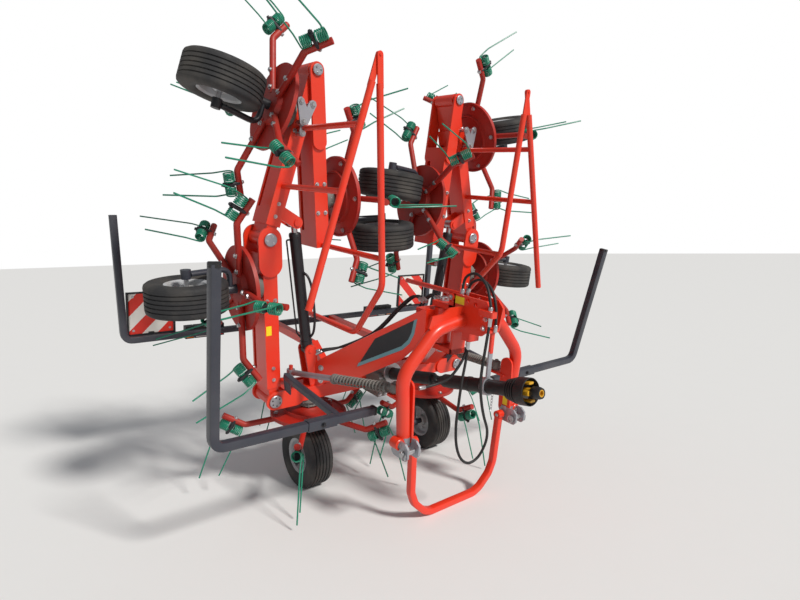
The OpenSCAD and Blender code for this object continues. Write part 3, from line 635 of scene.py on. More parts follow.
# %% Corner guards and rear rack
SQUARE, GUARD_BEND, PIN_HOLES = 0.044, 0.06, 5
guard_foot, guard_corner, guard_top = (0.454, -0.660, 0.728), (1.313, -0.670, 0.743), (1.343, -0.783, 1.561)
guard_tube = square_ring(SQUARE - 0.001)
for side, name in SIDES:
    here = machine(side)
    guard, caps, guard_pins = Piece(), Piece(), Piece()
    guard.add(tube(rounded([guard_foot, guard_corner, guard_top], GUARD_BEND, 6), guard_tube), here)
    guard.add(tube([(0.640, -0.050, 0.640), (0.686, -0.112, 0.782)], square_ring(0.037)), here)
    guard.add(tube([(0.684, -0.104, 0.772), (0.667, -0.650, 0.727)], square_ring(0.036)), here)
    guard.add(tube([(0.700, -0.6629, 0.7323), (0.860, -0.6647, 0.7351)], square_ring(SQUARE + 0.008)), here)
    for end, ahead in ((guard_foot, (-1, 0.01, -0.017)), (guard_top, (0.036, -0.137, 1))):
        end, ahead = Vector(end), Vector(ahead).normalized()
        caps.add(tube([end - ahead * 0.012, end + ahead * 0.0005], square_ring(SQUARE + 0.002)), here)
    guard_pins.add(bolt(0.009), here @ facing((0.780, -0.6905, 0.734), (0, -1, 0)))
    for k in range(PIN_HOLES):
        hole_at = (1.315 + 0.0055 * k, -0.677 - 0.0207 * k - 0.022, 0.82 + 0.15 * k)
        guard_pins.add(drum(0.007, 0, 0.0012, 14), here @ facing(hole_at, (0, -1, -0.137)))
    stands_for = ["front_guards"] if side < 0 else []
    guard.done("corner_guards_" + name, "frame", guard_paint, "blue_grey_paint", *stands_for)
    caps.done("guard_caps_" + name, "frame", black_plastic, "black_plastic")
    guard_pins.done("guard_pins_" + name, "frame", black_paint, "black_paint")
rack_line = [(-1.343, 0.992, 1.596), (-1.313, 0.960, 0.780), (1.313, 0.960, 0.780), (1.343, 0.992, 1.596)]
rack = Piece().add(tube(rounded(rack_line, GUARD_BEND, 6), guard_tube), machine())
rack.done("rear_rack_tube", "frame", guard_paint, "blue_grey_paint", "rear_rack")
print("after the corner guards", total)

# %% [markdown]
# The two round guards differ: the near one reaches further out. Each ends in a plastic plug.

# %% Round guards of the outer sections
GUARD, GUARD_AHEAD = 0.034, 0.640
cap_profile = [(0, 0), (0.0168, 0), (0.0168, 0.010), (0.012, 0.0145), (0, 0.0145)]
for (side, name), node, reach in zip(SIDES, ("guard_d_tube", "guard_h"), (1.400, 1.245)):
    here, body = section(side, 3), "outer_" + name
    line = [(0.125, -GUARD_AHEAD, 0), (reach - 0.31, -GUARD_AHEAD, 0), (reach, -0.383, 0),
        (reach + 0.005, 0.195, 0)]
    guard = Piece().add(tube(rounded(line, 0.11, 7), ring_of(GUARD / 2, 20)), here)
    guard.add(tube([(0.945, -0.066, 0), (0.945, -GUARD_AHEAD, 0)], ring_of(0.015, 16)), here)
    guard.add(plate(stadium((0, 0), (0.14, 0), 0.016), 0.0, 0.008), here @ across_y(-0.641))
    guard.done("outer_guard_" + name, body, orange_paint, "orange_paint", node)
    cap_place = here @ facing((reach + 0.005, 0.181, 0), (0, 1, 0))
    cap = Piece().add(turned(cap_profile, 20, closed=False), cap_place)
    cap.done("outer_guard_cap_" + name, body, black_plastic, "black_plastic")
print("after the round guards", total)

# %% [markdown]
# The headstock carries the whole machine on the tractor. Its two legs are heavy bent tube, which a
# swept ring with eased corners gives, and the head is made of two flat plates with pin holes, so a
# plate with holes is needed: the outline and the holes are filled together, then given a thickness.

# %% Plates with holes
from mathutils.geometry import tessellate_polygon

ACROSS_X = Matrix(((0, 0, 1, 0), (1, 0, 0, 0), (0, 1, 0, 0), (0, 0, 0, 1)))


def holed_plate(outline, holes, low, high, count=22):
    """Flat plate with round holes given as x, y and radius."""
    loops = [[Vector((x, y, 0)) for x, y in outline]]
    for x, y, radius in holes:
        loops.append([Vector((x + u, y + v, 0)) for u, v in ring_of(radius, count)])
    flat = [spot for loop in loops for spot in loop]
    n, faces, start = len(flat), [], 0
    for a, b, c in tessellate_polygon(loops):
        corner = (a, b, c) if (flat[b] - flat[a]).cross(flat[c] - flat[a]).z > 0 else (a, c, b)
        faces += [tuple(i + n for i in corner), tuple(reversed(corner))]
    for number, loop in enumerate(loops):
        for k in range(len(loop)):
            a, b = start + k, start + (k + 1) % len(loop)
            faces.append((a, b, b + n, a + n) if number == 0 else (b, a, a + n, b + n))
        start += len(loop)
    return np.array([(v.x, v.y, low) for v in flat] + [(v.x, v.y, high) for v in flat]), faces


def rod(start, end, radius, count=24, cap=0.0):
    """Round bar between two points, its ends trimmed by cap."""
    start, end = Vector(start), Vector(end)
    length = (end - start).length
    inner = radius - cap
    profile = [(0, 0), (inner, 0), (radius, cap), (radius, length - cap), (inner, length), (0, length)]
    spots, faces = turned(profile, count, closed=False)
    grid = np.array(facing(start, end - start))
    return spots @ grid[:3, :3].T + grid[:3, 3], faces


print("faces of a plate with one hole", len(holed_plate(oblong(0, 0, 1, 1), [(0.5, 0.5, 0.2)], 0, 1)[1]))

# %% Legs of the headstock
HEAD_AHEAD, SWIVEL_AHEAD, LINK_AHEAD, LINK_HALF, LINK_Z = 0.850, 0.650, 0.918, 0.4125, 0.590
head, forks, fixings, labels = Piece(), Piece(), Piece(), Piece()
leg_points = [(0.400, -HEAD_AHEAD, 0.600), (0.436, -HEAD_AHEAD, 0.975), (0.240, -HEAD_AHEAD, 1.185),
    (0.040, -HEAD_AHEAD, 1.225)]
leg_tube = tube(rounded(leg_points, 0.15, 9), ring_of(0.035, 26))
gusset = [(0.045, 1.200), (0.262, 1.176), (0.290, 1.205), (0.272, 1.262), (0.200, 1.268), (0.150, 1.296),
    (0.045, 1.296)]
cheek = moved(0.377, 0, 0) @ ACROSS_X
for side, _ in SIDES:
    here = machine(side)
    head.add(leg_tube, here)
    head.add(plate(gusset, 0, 0.012), here @ across_y(-HEAD_AHEAD + 0.006))
    head.add(block((0.362, -0.833, 0.823), (0.422, -0.713, 0.835)), here)
    head.add(holed_plate(stadium((-0.850, 0.640), (-0.835, 0.900), 0.042), [], -0.006, 0.006), here @ cheek)
    head.add(rod((0.447, -0.884, 0.622), (0.447, -0.826, 0.622), 0.030, cap=0.003), here)
    fixings.add(bolt(0.014, 0.010), here @ facing((0.447, -0.884, 0.622), (0, -1, 0)))
print("points in the legs of the headstock", head.count)

# %% [markdown]
# Each lower link is held between the two plates of a fork by a round pin with a wire clip. The plates
# have real holes, so the pin is seen to pass through them.

# %% Forks and pins of the lower links
FORK_WALL, LINK_BORE = 0.012, 0.01425
fork = [(-0.950, 0.575), (-0.935, 0.556), (-0.840, 0.556), (-0.822, 0.575), (-0.822, 0.630), (-0.850, 0.645),
    (-0.925, 0.645), (-0.950, 0.625)]
clip_side = [(-LINK_AHEAD, 0.612), (-LINK_AHEAD, 0.566), (-0.945, 0.566), (-0.945, 0.600)]
clip = [(LINK_HALF + 0.052, y, z) for y, z in clip_side]
for side, _ in SIDES:
    here = machine(side)
    for low in (LINK_HALF - 0.042, LINK_HALF + 0.030):
        hole = (-LINK_AHEAD, LINK_Z, LINK_BORE)
        forks.add(holed_plate(fork, [hole], low, low + FORK_WALL), here @ ACROSS_X)
    forks.add(bush(0.036, 0.0365, 0.0, 0.045, 26), here @ moved(0.402, -HEAD_AHEAD, 0.604))
    forks.add(block((LINK_HALF - 0.031, -0.850, 0.560), (LINK_HALF + 0.031, -0.824, 0.642)), here)
    pin_from, pin_to = [(LINK_HALF + out, -LINK_AHEAD, LINK_Z) for out in (-0.052, 0.060)]
    fixings.add(rod(pin_from, pin_to, 0.014, cap=0.003), here)
    washer_at = (LINK_HALF - 0.050, -LINK_AHEAD, LINK_Z)
    fixings.add(bush(0.0145, 0.022, 0, 0.006, 22), here @ facing(washer_at, (-1, 0, 0)))
    fixings.add(tube(rounded(clip, 0.012), ring_of(0.003, 8)), here)
    fixings.add(rod((0.312, -HEAD_AHEAD, 0.600), (0.400, -HEAD_AHEAD, 0.600), 0.010, cap=0.002), here)
print("points in the forks", forks.count)

# %% [markdown]
# The stand loop is one square tube bent round below the headstock. Its upper ends carry hollow
# barrels, and the hinge pins of the headstock run through these, so the loop can swing up.

# %% Stand loop


def mirrored_x(half):
    return [(-x, z) for x, z in reversed(half)]


stand_half = [(0.334, 0.579), (0.322, 0.300), (0.292, 0.228), (0.222, 0.160), (0.170, 0.1395)]
stand_line = [(x, -HEAD_AHEAD, z) for x, z in stand_half + mirrored_x(stand_half)]
stand = Piece().add(tube(rounded(stand_line, 0.09, 5), square_ring(0.038), up=(0, 1, 0)), machine())
for side, _ in SIDES:
    hinge = machine(side) @ facing((0.314, -HEAD_AHEAD, 0.600), (1, 0, 0))
    stand.add(bush(0.0108, 0.024, 0, 0.042, 26), hinge)
stand.done("stand_loop", "stand", orange_paint, "orange_paint", "stand")
print("after the stand", total)

# %% [markdown]
# The head is two flat plates, each with two holes for the pin of the top link. Behind them a pair of
# lugs takes the swivel pin, on which the whole headstock turns from side to side.

# %% Head plates and swivel
yellow_film = finish("yellow_film", (240, 212, 28), (224, 194, 48), 0.4, amount=0.2, bump=0.0)
head_plate = [(-0.990, 1.168), (-1.022, 1.196), (-1.040, 1.315), (-1.005, 1.352), (-0.740, 1.352),
    (-0.740, 1.140)]
top_link_holes = [(-0.878, 1.331, 0.01275), (-0.934, 1.320, 0.01275)]
for side, _ in SIDES:
    here = machine(side)
    head.add(holed_plate(head_plate, top_link_holes, 0.038, 0.052), here @ ACROSS_X)
    for y, z in ((-0.760, 1.328), (-0.990, 1.290)):
        head.add(rod((0.052, y, z), (0.064, y, z), 0.022, cap=0.002), here)
        fixings.add(bolt(0.011), here @ facing((0.064, y, z), (1, 0, 0)))
    for y, z in ((-1.010, 1.262), (-1.000, 1.212), (-0.765, 1.170), (-0.765, 1.220)):
        fixings.add(bolt(0.010), here @ facing((0.052, y, z), (1, 0, 0)))
    labels.add(plate(oblong(-0.852, 1.301, -0.786, 1.341), 0.0521, 0.0529), here @ ACROSS_X)
labels.add(plate(oblong(-0.872, 0.655, -0.838, 0.730), -0.0068, -0.0059), machine() @ cheek)
for low in (1.009, 1.251):
    head.add(block((-0.052, -0.790, low), (0.052, -0.605, low + 0.030)), machine())
for low, high in (
        ((-0.052, -0.790, 1.009), (0.052, -0.770, 1.351)),
        ((-0.038, -0.900, 1.110), (0.038, -0.840, 1.210)),
        ((-0.092, -1.085, 1.285), (-0.052, -0.990, 1.315)),
        ((-0.040, -1.030, 1.190), (0.040, -0.985, 1.204))):
    head.add(block(low, high), machine())
head.add(block((-0.012, -1.030, 1.080), (0.012, -1.012, 1.195), 0.003), machine())
fixings.add(rod((0, -SWIVEL_AHEAD, 0.985), (0, -SWIVEL_AHEAD, 1.305), 0.022, cap=0.003), machine())
fixings.add(bolt(0.020, 0.012, 0.004), machine() @ facing((0, -SWIVEL_AHEAD, 1.281), (0, 0, 1)))
print("points in the head", head.count)

# %% [markdown]
# A strap ring carries the drive shaft's guard, and a short chain hangs beside it. Every second link
# of a chain is turned a quarter, and a link is a small ring stretched along the chain.

# %% Strap ring and chain
SHAFT_TILT, CHAIN_LINKS, LINK_STEP = math.radians(13.2), 9, 0.0165
shaft_way = Vector((0, -math.cos(SHAFT_TILT), math.sin(SHAFT_TILT)))
shaft_from = Vector((0, -0.130, 0.690))
strap_at = shaft_from + shaft_way * ((1.020 - 0.130) / math.cos(SHAFT_TILT))
forks.add(bush(0.0385, 0.0475, -0.014, 0.014, 36), machine() @ facing(strap_at, shaft_way))
forks.add(block((-0.014, -1.026, 0.942), (0.014, -1.014, 1.088), 0.001), machine())
chain_link = turned([(0.0062 + u, v) for u, v in ring_of(0.0014, 6)], 14)
for k in range(CHAIN_LINKS):
    spot = machine() @ moved(0.051, -1.020, 0.890 - LINK_STEP * k) @ about_z(90 * (k % 2))
    fixings.add(chain_link, spot @ UPRIGHT @ Matrix.Diagonal((1, 1.75, 1, 1)))
head.done("headstock_legs_and_head", "headstock", orange_paint, "orange_paint", "headstock")
forks.done("hitch_castings", "headstock", link_zinc, "grey_casting")
fixings.done("headstock_pins", "headstock", bright_steel, "bright_steel")
labels.done("headstock_blank_labels", "headstock", yellow_film, "board")
print("after the headstock", total)

# %% [markdown]
# Short hoses are clipped at both ends, so they are plain swept tubes and no free cords. Three leave
# the head in arcs, because a hose bends only gently, and two run back along each side of the boom.
# All end in pressed steel sleeves.

# %% Clipped hoses
hoses, sleeves, boom_hoses, boom_fittings = Piece(), Piece(), Piece(), Piece()


def clipped_hose(into, ends, points, back, front, here):
    """A hose through the points and its two sleeves, which start a little behind the hose's ends."""
    line = eased(points, 5)
    into.add(tube(line, ring_of(HOSE_WIDTH / 2, 12)), here)
    sleeve = [(0, -back), (0.0115, -back), (0.0115, front), (0.009, front + 0.004), (0, front + 0.004)]
    for end, inward in ((line[0], line[1] - line[0]), (line[-1], line[-2] - line[-1])):
        ends.add(turned(sleeve, 14, closed=False), here @ facing(end, inward))


for points in (
        [(-0.020, -0.800, 1.345), (-0.020, -0.815, 1.440), (-0.030, -0.900, 1.475), (-0.045, -0.990, 1.430),
            (-0.060, -1.040, 1.345), (-0.062, -1.045, 1.300)],
        [(0.020, -0.800, 1.345), (0.025, -0.820, 1.410), (0.020, -0.900, 1.440), (0.010, -0.985, 1.395),
            (0.000, -1.030, 1.300), (0.000, -1.035, 1.200)],
        [(-0.010, -0.870, 1.112), (-0.060, -0.890, 1.020), (-0.130, -0.880, 0.930), (-0.200, -0.850, 0.890),
            (-0.300, -0.830, 0.880)]):
    clipped_hose(hoses, sleeves, points, 0.004, 0.030, machine())
free_sleeve = [(0, 0.001), (0.012, 0.001), (0.012, 0.014), (0.0105, 0.016), (0.0105, 0.045), (0, 0.045)]
for end in (hose_points[0], hose_points[-1]):
    sleeves.add(turned(free_sleeve, 6, closed=False), machine() @ facing(end, (0, 0, -1)))
for side, _ in SIDES:
    for apart in (0.0, 0.024):
        points = [(0.045 + apart, -0.545, 1.262), (0.055 + apart, -0.470, 1.275),
            (0.075 + apart, -0.360, 1.180), (0.150 + apart, -0.235, 1.010), (0.290 + apart, -0.110, 0.905),
            (0.405, -0.045 - apart, 0.880), (0.452, -0.022 - apart, 0.862)]
        clipped_hose(boom_hoses, boom_fittings, points, 0.010, 0.028, machine(side))
boom_hoses.done("boom_hoses", "frame", hose_rubber, "black_plastic")
boom_fittings.done("boom_hose_fittings", "frame", bright_steel, "bright_steel")
hoses.done("clipped_hoses", "headstock", hose_rubber, "black_plastic")
sleeves.done("hose_sleeves", "headstock", bright_steel, "bright_steel")
print("after the hoses", total)

# %% [markdown]
# The drive shaft shows only its guard: a smooth black tube, a ring where the hook of the chain sits,
# and a ribbed bell round the yoke. Ribs are part of the turned profile, as they are moulded in.

# %% Drive shaft and its guard
RIBS, RIB_STEP, RIB_GROWTH = 4, 0.0175, 0.0045
shaft, yoke = Piece(), Piece()
yoke_yellow = finish("yoke_yellow", (214, 160, 34), (176, 130, 44), 0.45, amount=0.5)
bell = [(0.0375, 1.052), (0.043, 1.056), (0.043, 1.062)]
for k in range(RIBS):
    along, radius = 1.066 + RIB_STEP * k, 0.0440 + RIB_GROWTH * k
    bell += [(radius, along), (radius + 0.0085, along + 0.003), (radius + 0.0095, along + 0.008),
        (radius + 0.0085, along + 0.011), (radius + 0.001, along + 0.013)]
bell += [(0.068, 1.138), (0.0695, 1.142), (0.0695, 1.196), (0.0665, 1.200), (0.064, 1.196), (0.064, 1.142),
    (0.035, 1.110), (0.0, 1.110)]
guard_line = [(0, 0.541), (0.013, 0.541), (0.013, 0.560), (0.025, 0.562), (0.025, 0.586), (0.034, 0.590),
    (0.0375, 0.598), (0.0375, 0.780), (0.041, 0.784), (0.041, 0.800), (0.0375, 0.804)]
collar_profile = [(0.012, 1.212), (0.028, 1.212), (0.030, 1.216), (0.030, 1.250), (0.026, 1.262),
    (0.018, 1.262), (0.018, 1.214), (0.012, 1.214)]
axis = machine() @ facing(shaft_from, shaft_way)
shaft.add(turned(guard_line + bell, 44, closed=False), axis)
yoke.add(drum(0.020, 1.112, 1.215, 28), axis)
yoke.add(bush(0.0135, 0.0175, 1.210, 1.2615, 24), axis)
for half_turn in (0, 180):
    yoke.add(block((-0.017, 0.018, 1.120), (0.017, 0.048, 1.135), 0.003), axis @ about_z(half_turn))
    yoke.add(block((-0.017, 0.038, 1.130), (0.017, 0.050, 1.205), 0.004), axis @ about_z(half_turn))
    yoke.add(block((-0.012, 0.018, 1.182), (0.012, 0.040, 1.210), 0.004), axis @ about_z(half_turn + 90))
shaft.done("shaft_guard", "pto_shaft", black_plastic, "black_plastic", "pto_shaft")
yoke.done("shaft_yoke", "pto_shaft", yoke_yellow, "bright_steel")
Piece().add(turned(collar_profile, 32), axis).done("yoke_collar", "pto_shaft", black_plastic, "black_plastic")
coat(black_plastic, "input_shaft", soften=0)
print("after the shaft", total)

# %% [markdown]
# Each damper is a slim tube that slides over its rod inside a long spring. The collar that presses
# the spring rides with the rod, because it slides along the tube when the headstock swivels.

# %% Dampers with their springs
SPRING_TURNS, TURN_STEPS, SPRING_FROM, SPRING_TO, SPRING_RADIUS = 15, 14, 0.382, 0.728, 0.0245
damper_rear, damper_front = Vector((0.597, 0.010, 0.747)), Vector((0.392, -0.743, 0.865))
rod_end = (damper_front - damper_rear).length - 0.015
spring_line, spring_steps = [], TURN_STEPS * SPRING_TURNS
for k in range(spring_steps + 1):
    angle = 2 * math.pi * k / TURN_STEPS
    height = SPRING_FROM + (SPRING_TO - SPRING_FROM) * k / spring_steps
    spring_line.append((SPRING_RADIUS * math.cos(angle), SPRING_RADIUS * math.sin(angle), height))
sliding_collar = [(0.0174, 0.352), (0.029, 0.354), (0.030, 0.358), (0.030, 0.370), (0.029, 0.373),
    (0.0174, 0.373)]
rod_profile = [(0, 0.345), (0.0135, 0.345), (0.0135, 0.728), (0.029, 0.730), (0.029, 0.742), (0.016, 0.745),
    (0.016, rod_end), (0, rod_end)]
eye_profile = [(0, -0.02), (0.024, -0.02), (0.025, -0.018), (0.025, 0.024), (0.024, 0.026), (0, 0.026)]
nut_profile = [(0, 0.026), (0.012, 0.026), (0.012, 0.036), (0.010, 0.038), (0, 0.038)]
for side, name in SIDES:
    strut = machine(side) @ facing(damper_rear, damper_front - damper_rear)
    eye = machine(side) @ Matrix.Translation(damper_front)
    slim, spring = Piece(), Piece()
    barrel_body, rod_body = "damper_barrel_" + name, "damper_rod_" + name
    slim.add(drum(0.017, 0.018, 0.428, 30), strut)
    slim.add(bush(0.0123, 0.025, -0.02, 0.02, 28), machine(side) @ Matrix.Translation(damper_rear))
    slim.done("damper_tube_" + name, barrel_body, link_zinc, "bright_steel", barrel_body)
    spring.add(turned(sliding_collar, 30), strut)
    spring.add(tube(spring_line, ring_of(0.0046, 8), up=(1, 0, 0)), strut)
    spring.add(turned(rod_profile, 28, closed=False), strut)
    spring.add(turned(eye_profile, 28, closed=False), eye)
    spring.add(turned(nut_profile, 6, closed=False), eye)
    spring.done("damper_spring_" + name, rod_body, casting_grey, "bright_steel", rod_body)
print("after the dampers", total)

# %% [markdown]
# The lift cylinders keep the construction model's barrel and rod. The gland, a steel pipe and a
# short hose along the barrel are what a bare cylinder would lack.

# %% Lift cylinders
cylinder_foot, cylinder_head = Vector((0.500, -0.005, 0.885)), Vector((0.612, -0.005, 1.652))
coat(black_paint, "cylinder_barrel_near", "cylinder_barrel_far", soften=0)
coat(bright_steel, "cylinder_rod_near", "cylinder_rod_far", soften=0)
gland_profile = [(0.018, 0.528), (0.0328, 0.528), (0.0328, 0.688), (0.0345, 0.690), (0.0345, 0.706),
    (0.030, 0.714), (0.018, 0.714)]
pipe_points = [(0.030, 0.0, 0.675), (0.050, 0.0, 0.675), (0.050, 0.0, 0.110), (0.028, 0.0, 0.075)]
pipe_line = rounded(pipe_points, 0.02)
flexible = eased([(0.032, 0, 0.480), (0.060, 0, 0.455), (0.078, 0, 0.380), (0.078, 0, 0.220),
    (0.060, 0, 0.120), (0.032, 0, 0.080)], 5)
for side, name in SIDES:
    axis = machine(side) @ facing(cylinder_foot, cylinder_head - cylinder_foot)
    body = "cylinder_barrel_" + name
    gland = Piece().add(turned(gland_profile, 32), axis).add(bush(0.0325, 0.036, 0.036, 0.060, 32), axis)
    gland.add(tube(flexible, ring_of(HOSE_WIDTH / 2, 12)), axis @ about_z(150))
    gland.done("cylinder_gland_" + name, body, black_paint, "black_paint")
    pipe = Piece().add(tube(pipe_line, ring_of(0.005, 10)), axis @ about_z(-60))
    pipe.done("cylinder_pipe_" + name, body, black_paint, "black_paint")
print("after the cylinders", total)

# %% [markdown]
# The fold pins are the points that the eye goes to first. Each has a flat head held by small bolts,
# and a grey pair of links spans the outer joint. Blank yellow films stand where stickers would be.

# %% Fold pin heads and links
notched = [(0.669, 2.290), (0.664, 2.306), (0.648, 2.312), (0.632, 2.303), (0.614, 2.262), (0.596, 2.296),
    (0.580, 2.304), (0.562, 2.297), (0.556, 2.280), (0.603, 2.182), (0.616, 2.168), (0.636, 2.166),
    (0.650, 2.178)]
HEADS = ((0, 0.7345, -0.081, 0.038, 6), (1, ROTOR_PITCH, -0.081, 0.036, 3), (3, 0.0, -0.087, 0.030, 3))
for side, name in SIDES:
    for number, x, y, radius, count in HEADS:  # section, place along and across the beam, radius, bolts
        here = section(side, number) @ moved(x, 0, 0) if number else machine(side) @ moved(x, 0, PIN_HEIGHT)
        pin, dots, ending = Piece(), Piece(), "%s_%s" % (SECTIONS[number], name)
        rim_of_head = [(0, 0), (radius, 0), (radius, 0.005), (radius - 0.004, 0.008), (0, 0.008)]
        pin.add(turned(rim_of_head, 30, closed=False), here @ facing((0, y + 0.002, 0), (0, -1, 0)))
        pin.add(drum(0.026, 0, 0.006, 26), here @ facing((0, 0.139, 0), (0, 1, 0)))
        for k in range(count):
            angle, out = 2 * math.pi * k / count + 0.4, radius - 0.013
            at = facing((out * math.cos(angle), y - 0.0055, out * math.sin(angle)), (0, -1, 0))
            dots.add(bolt(0.0055, 0.005, 0.001) if count == 3 else drum(0.005, 0, 0.0008, 12), here @ at)
        pin.done("fold_pin_head_" + ending, body_of(side, number), link_zinc, "bright_steel")
        colour = black_paint if number == 0 else bright_steel
        dots.done("fold_pin_bolts_" + ending, body_of(side, number), colour, "black_paint")
    links, ends, here = Piece(), Piece(), machine(side)
    links.add(plate(notched, 0, 0.010), here @ across_y(-0.118))
    links.add(plate(stadium((0.628, 2.180), (0.634, 2.128), 0.014), 0, 0.008), here @ across_y(-0.108))
    for x, z in ((0.647, 2.290), (0.578, 2.282), (0.628, 2.190), (0.634, 2.128)):
        ends.add(bolt(0.012), here @ facing((x, -0.128, z), (0, -1, 0)))
        ends.add(rod((x, -0.118, z), (x, -0.060, z), 0.011), here)
    links.done("outer_joint_links_" + name, "middle_" + name, link_zinc, "bright_steel")
    ends.done("outer_joint_bolts_" + name, "middle_" + name, bright_steel, "bright_steel")
print("after the pins", total)

# %% [markdown]
# Bolts stand in pairs where a rotor's gearbox and a beam's end meet, and a small blank film stands
# where a sticker would be.

# %% Bolts and labels on the beams
for side, name in SIDES:
    for number in (1, 2, 3):
        here, body, fixings = section(side, number), body_of(side, number), Piece()
        face = -0.066 if number == 3 else -0.060
        for x in (0.600, 0.760):
            for z in (-0.024, 0.024):
                fixings.add(bolt(0.009), here @ facing((x, face, z), (0, -1, 0)))
        for x in (0.130, 0.200) if number < 3 else ():
            fixings.add(bolt(0.008), here @ facing((x, face, 0.0), (0, -1, 0)))
        if number == 1:
            label = plate(oblong(0.400, -0.036, 0.455, -0.004), 0, 0.0006)
            film = Piece().add(label, here @ across_y(-0.0605))
            film.done("blank_label_inner_" + name, body, yellow_film, "board")
        fixings.done("beam_bolts_%s_%s" % (SECTIONS[number], name), body, bright_steel, "bright_steel")
print("after the beam bolts", total)

# %% [markdown]
# The boom's side carries a black panel with a pale stripe along its lower edge. The real one is
# printed; here it stays blank, so only its outline and colours are kept.

# %% Boom panel
stripe_teal = finish("stripe_teal", (96, 140, 150), (150, 156, 158), 0.4, amount=0.3, bump=0.0)
boom_foot, boom_head = Vector((0.390, -0.100, 0)), Vector((0.095, -0.600, 0))
boom_turn = math.atan2(boom_head.y - boom_foot.y, boom_head.x - boom_foot.x)
panel_low = [(0.200, 0.832), (0.476, 0.984), (0.517, 1.028)]
panel_nose = [(0.540, 1.085), (0.552, 1.178)]
panel, stripe, boom_bolts = Piece(), Piece(), Piece()
for side, _ in SIDES:
    face = machine(side) @ Matrix.Translation(boom_foot) @ Matrix.Rotation(boom_turn, 4, "Z") @ UPRIGHT
    panel.add(plate(panel_low + panel_nose + [(0.305, 1.022)], -0.0415, -0.0405), face)
    stripe.add(plate(panel_low + [(0.504, 1.045), (0.468, 1.004), (0.209, 0.858)], -0.0425, -0.0414), face)
    nose = [(0.505, 1.044), panel_low[-1]] + panel_nose + [(0.534, 1.166), (0.523, 1.090)]
    stripe.add(plate(nose, -0.0425, -0.0414), face)
    for z in (0.700, 0.780):
        boom_bolts.add(bolt(0.013), face @ facing((-0.040, z, -0.040), (0, 0, -1)))
panel.done("boom_panel", "frame", black_paint, "black_paint")
stripe.done("boom_panel_stripe", "frame", stripe_teal, "board")
boom_bolts.done("boom_bolts", "frame", bright_steel, "bright_steel")
print("after the boom", total)

# %% [markdown]
# The warning boards are striped by arithmetic: the distance across plus the height is cut into equal
# steps, and every second step is red. Because the distance is taken without its sign, the stripes
# fall outward on both sides, as they must.

# %% Warning boards
STRIPE_START, STRIPE_PAIR = 0.065, 0.200
striped = bpy.data.materials.new("warning_stripes")
striped.use_nodes = True
nodes, links = striped.node_tree.nodes, striped.node_tree.links
place, parts = nodes.new("ShaderNodeTexCoord"), nodes.new("ShaderNodeSeparateXYZ")
links.new(place.outputs["Object"], parts.inputs["Vector"])


def sum_of(operation, first, second):
    node = nodes.new("ShaderNodeMath")
    node.operation = operation
    for socket, value in zip(node.inputs, (first, second)):
        if isinstance(value, float):
            socket.default_value = value
        elif value is not None:
            links.new(value, socket)
    return node.outputs["Value"]


distance = sum_of("ABSOLUTE", parts.outputs["X"], None)
diagonal = sum_of("ADD", distance, parts.outputs["Z"])
step = sum_of("FRACT", sum_of("DIVIDE", sum_of("ADD", diagonal, STRIPE_START), STRIPE_PAIR), None)
paint = nodes.new("ShaderNodeMix")
paint.data_type = "RGBA"
paint.inputs["A"].default_value = shade(216, 44, 30)
paint.inputs["B"].default_value = shade(232, 230, 224)
links.new(sum_of("GREATER_THAN", step, 0.5), paint.inputs["Factor"])
links.new(paint.outputs["Result"], nodes["Principled BSDF"].inputs["Base Color"])
nodes["Principled BSDF"].inputs["Roughness"].default_value = 0.35
boards, posts, board_bolts = Piece(), Piece(), Piece()
for side in (-1, 1):
    here = machine(side)
    boards.add(block((0.996, 0.983, 0.811), (1.276, 0.993, 1.091), 0.006), here)
    for x in (0.983, 1.277):
        posts.add(block((x, 0.976, 0.801), (x + 0.012, 1.000, 1.095), 0.002), here)
    posts.add(block((1.120, 0.982, 0.758), (1.160, 0.994, 0.820), 0.002), here)
    posts.add(block((0.986, 0.978, 0.800), (1.286, 0.998, 0.811), 0.002), here)
    posts.add(block((0.986, 0.978, 1.086), (1.286, 0.998, 1.095), 0.002), here)
    for x in (1.020, 1.250):
        for z in (0.835, 1.065):
            board_bolts.add(bolt(0.006, 0.004, 0.001), here @ facing((x, 0.983, z), (0, -1, 0)))
boards.done("striped_boards", "frame", striped, "board", "warning_boards")
posts.done("board_frames", "frame", black_paint, "black_paint")
board_bolts.done("board_bolts", "frame", bright_steel, "bright_steel")
print("after the boards", total)

# %% [markdown]
# A lamp reads as a lamp by its glossy lens, so three clear plastics go on the lamp bodies. The last
# small forms are the bolts on the front face of the drive gearbox and the ring round its shaft.

# %% Lamps
coat(black_plastic, "lamps", soften=0.004)
LENSES = (("red", 0.640, 0.120, (190, 20, 14), (150, 22, 18)),
    ("clear", 0.765, 0.085, (226, 226, 222), (204, 204, 200)),
    ("amber", 0.855, 0.060, (236, 128, 20), (220, 120, 30)))
for colour, x, width, bright, dusty in LENSES:
    lens = finish("lens_" + colour, bright, dusty, 0.12, amount=0.2, bump=0.0, coat=0.6)
    cover = Piece()
    for side, _ in SIDES:
        cover.add(block((x + 0.004, 1.030, 0.739), (x + width - 0.004, 1.0325, 0.821), 0.002), machine(side))
        cover.add(block((x + 0.006, 0.977, 0.742), (x + width - 0.006, 0.983, 0.758), 0.002), machine(side))
    cover.done("lamp_lens_" + colour, "frame", lens, "lamp_plastic")
print("after the lamps", total)

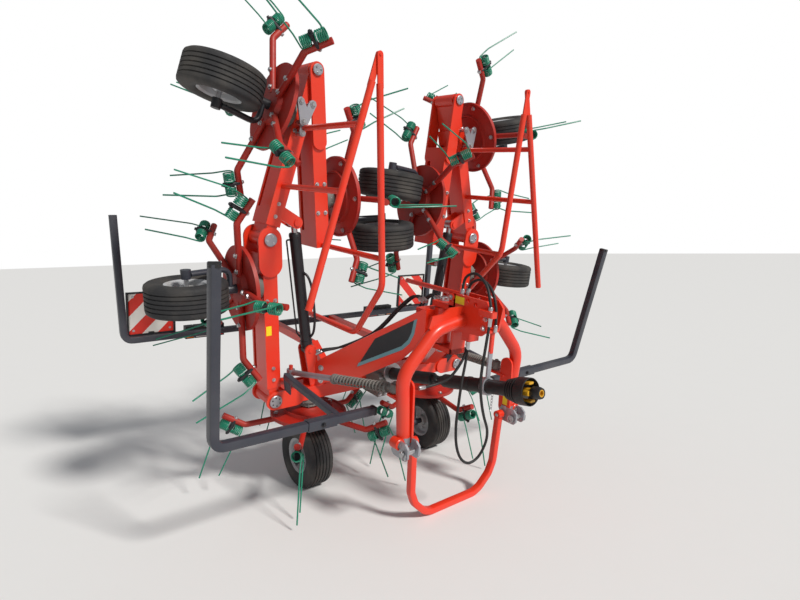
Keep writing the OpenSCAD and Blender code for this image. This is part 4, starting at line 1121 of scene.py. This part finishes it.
# %% Gearbox on the front of the beam
case = Piece()
for side, _ in SIDES:
    for x, z in ((0.070, 0.575), (0.070, 0.690), (0.025, 0.575)):
        case.add(bolt(0.009), machine(side) @ facing((x, -0.200, z), (0, -1, 0)))
shaft_ring = [(0.040, 0.098), (0.066, 0.098), (0.068, 0.101), (0.068, 0.110), (0.040, 0.110)]
case.add(turned(shaft_ring, 36), machine() @ facing(shaft_from, shaft_way))
case.done("gearbox_bolts", "frame", bright_steel, "bright_steel")
print("after the gearbox", total)

# %% [markdown]
# The floor is plain and pale, the world is a soft grey-white sky, and one broad sun stands for the
# low afternoon light that the front of the machine faces. A wide sun angle keeps the shadows soft.

# %% Floor and light
FLOOR_HALF = 60
floor_mesh = bpy.data.meshes.new("floor")
floor_corners = [(x, y, 0) for x, y in oblong(-FLOOR_HALF, -FLOOR_HALF, FLOOR_HALF, FLOOR_HALF)]
floor_mesh.from_pydata(floor_corners, [], [(0, 1, 2, 3)])
floor = bpy.data.objects.new("floor", floor_mesh)
bpy.context.scene.collection.objects.link(floor)
floor_paint = finish("studio_floor", (232, 232, 232), (229, 229, 228), 0.9, bump=0.0, amount=0.2)
floor_mesh.materials.append(floor_paint)
sun_data = bpy.data.lights.new("low_sun", "SUN")
sun_data.energy = 3.3
sun_data.angle = math.radians(9)
sun_data.color = (1.0, 0.97, 0.92)
sun = bpy.data.objects.new("low_sun", sun_data)
sun.matrix_world = facing((0, 0, 6), (0.22, -1.0, 0.85))
bpy.context.scene.collection.objects.link(sun)
world = bpy.data.worlds.new("studio")
bpy.context.scene.world = world
world.use_nodes = True
tree = world.node_tree
sky = tree.nodes["Background"]
sky.inputs["Color"].default_value = (0.93, 0.96, 1.0, 1)
sky.inputs["Strength"].default_value = 0.31
white = tree.nodes.new("ShaderNodeBackground")
white.inputs["Color"].default_value = (1, 1, 1, 1)
white.inputs["Strength"].default_value = 1.0
seen, blend = tree.nodes.new("ShaderNodeLightPath"), tree.nodes.new("ShaderNodeMixShader")
tree.links.new(seen.outputs["Is Camera Ray"], blend.inputs["Fac"])
tree.links.new(sky.outputs["Background"], blend.inputs[1])
tree.links.new(white.outputs["Background"], blend.inputs[2])
tree.links.new(blend.outputs["Shader"], tree.nodes["World Output"].inputs["Surface"])
bpy.context.scene.view_settings.view_transform = "Standard"
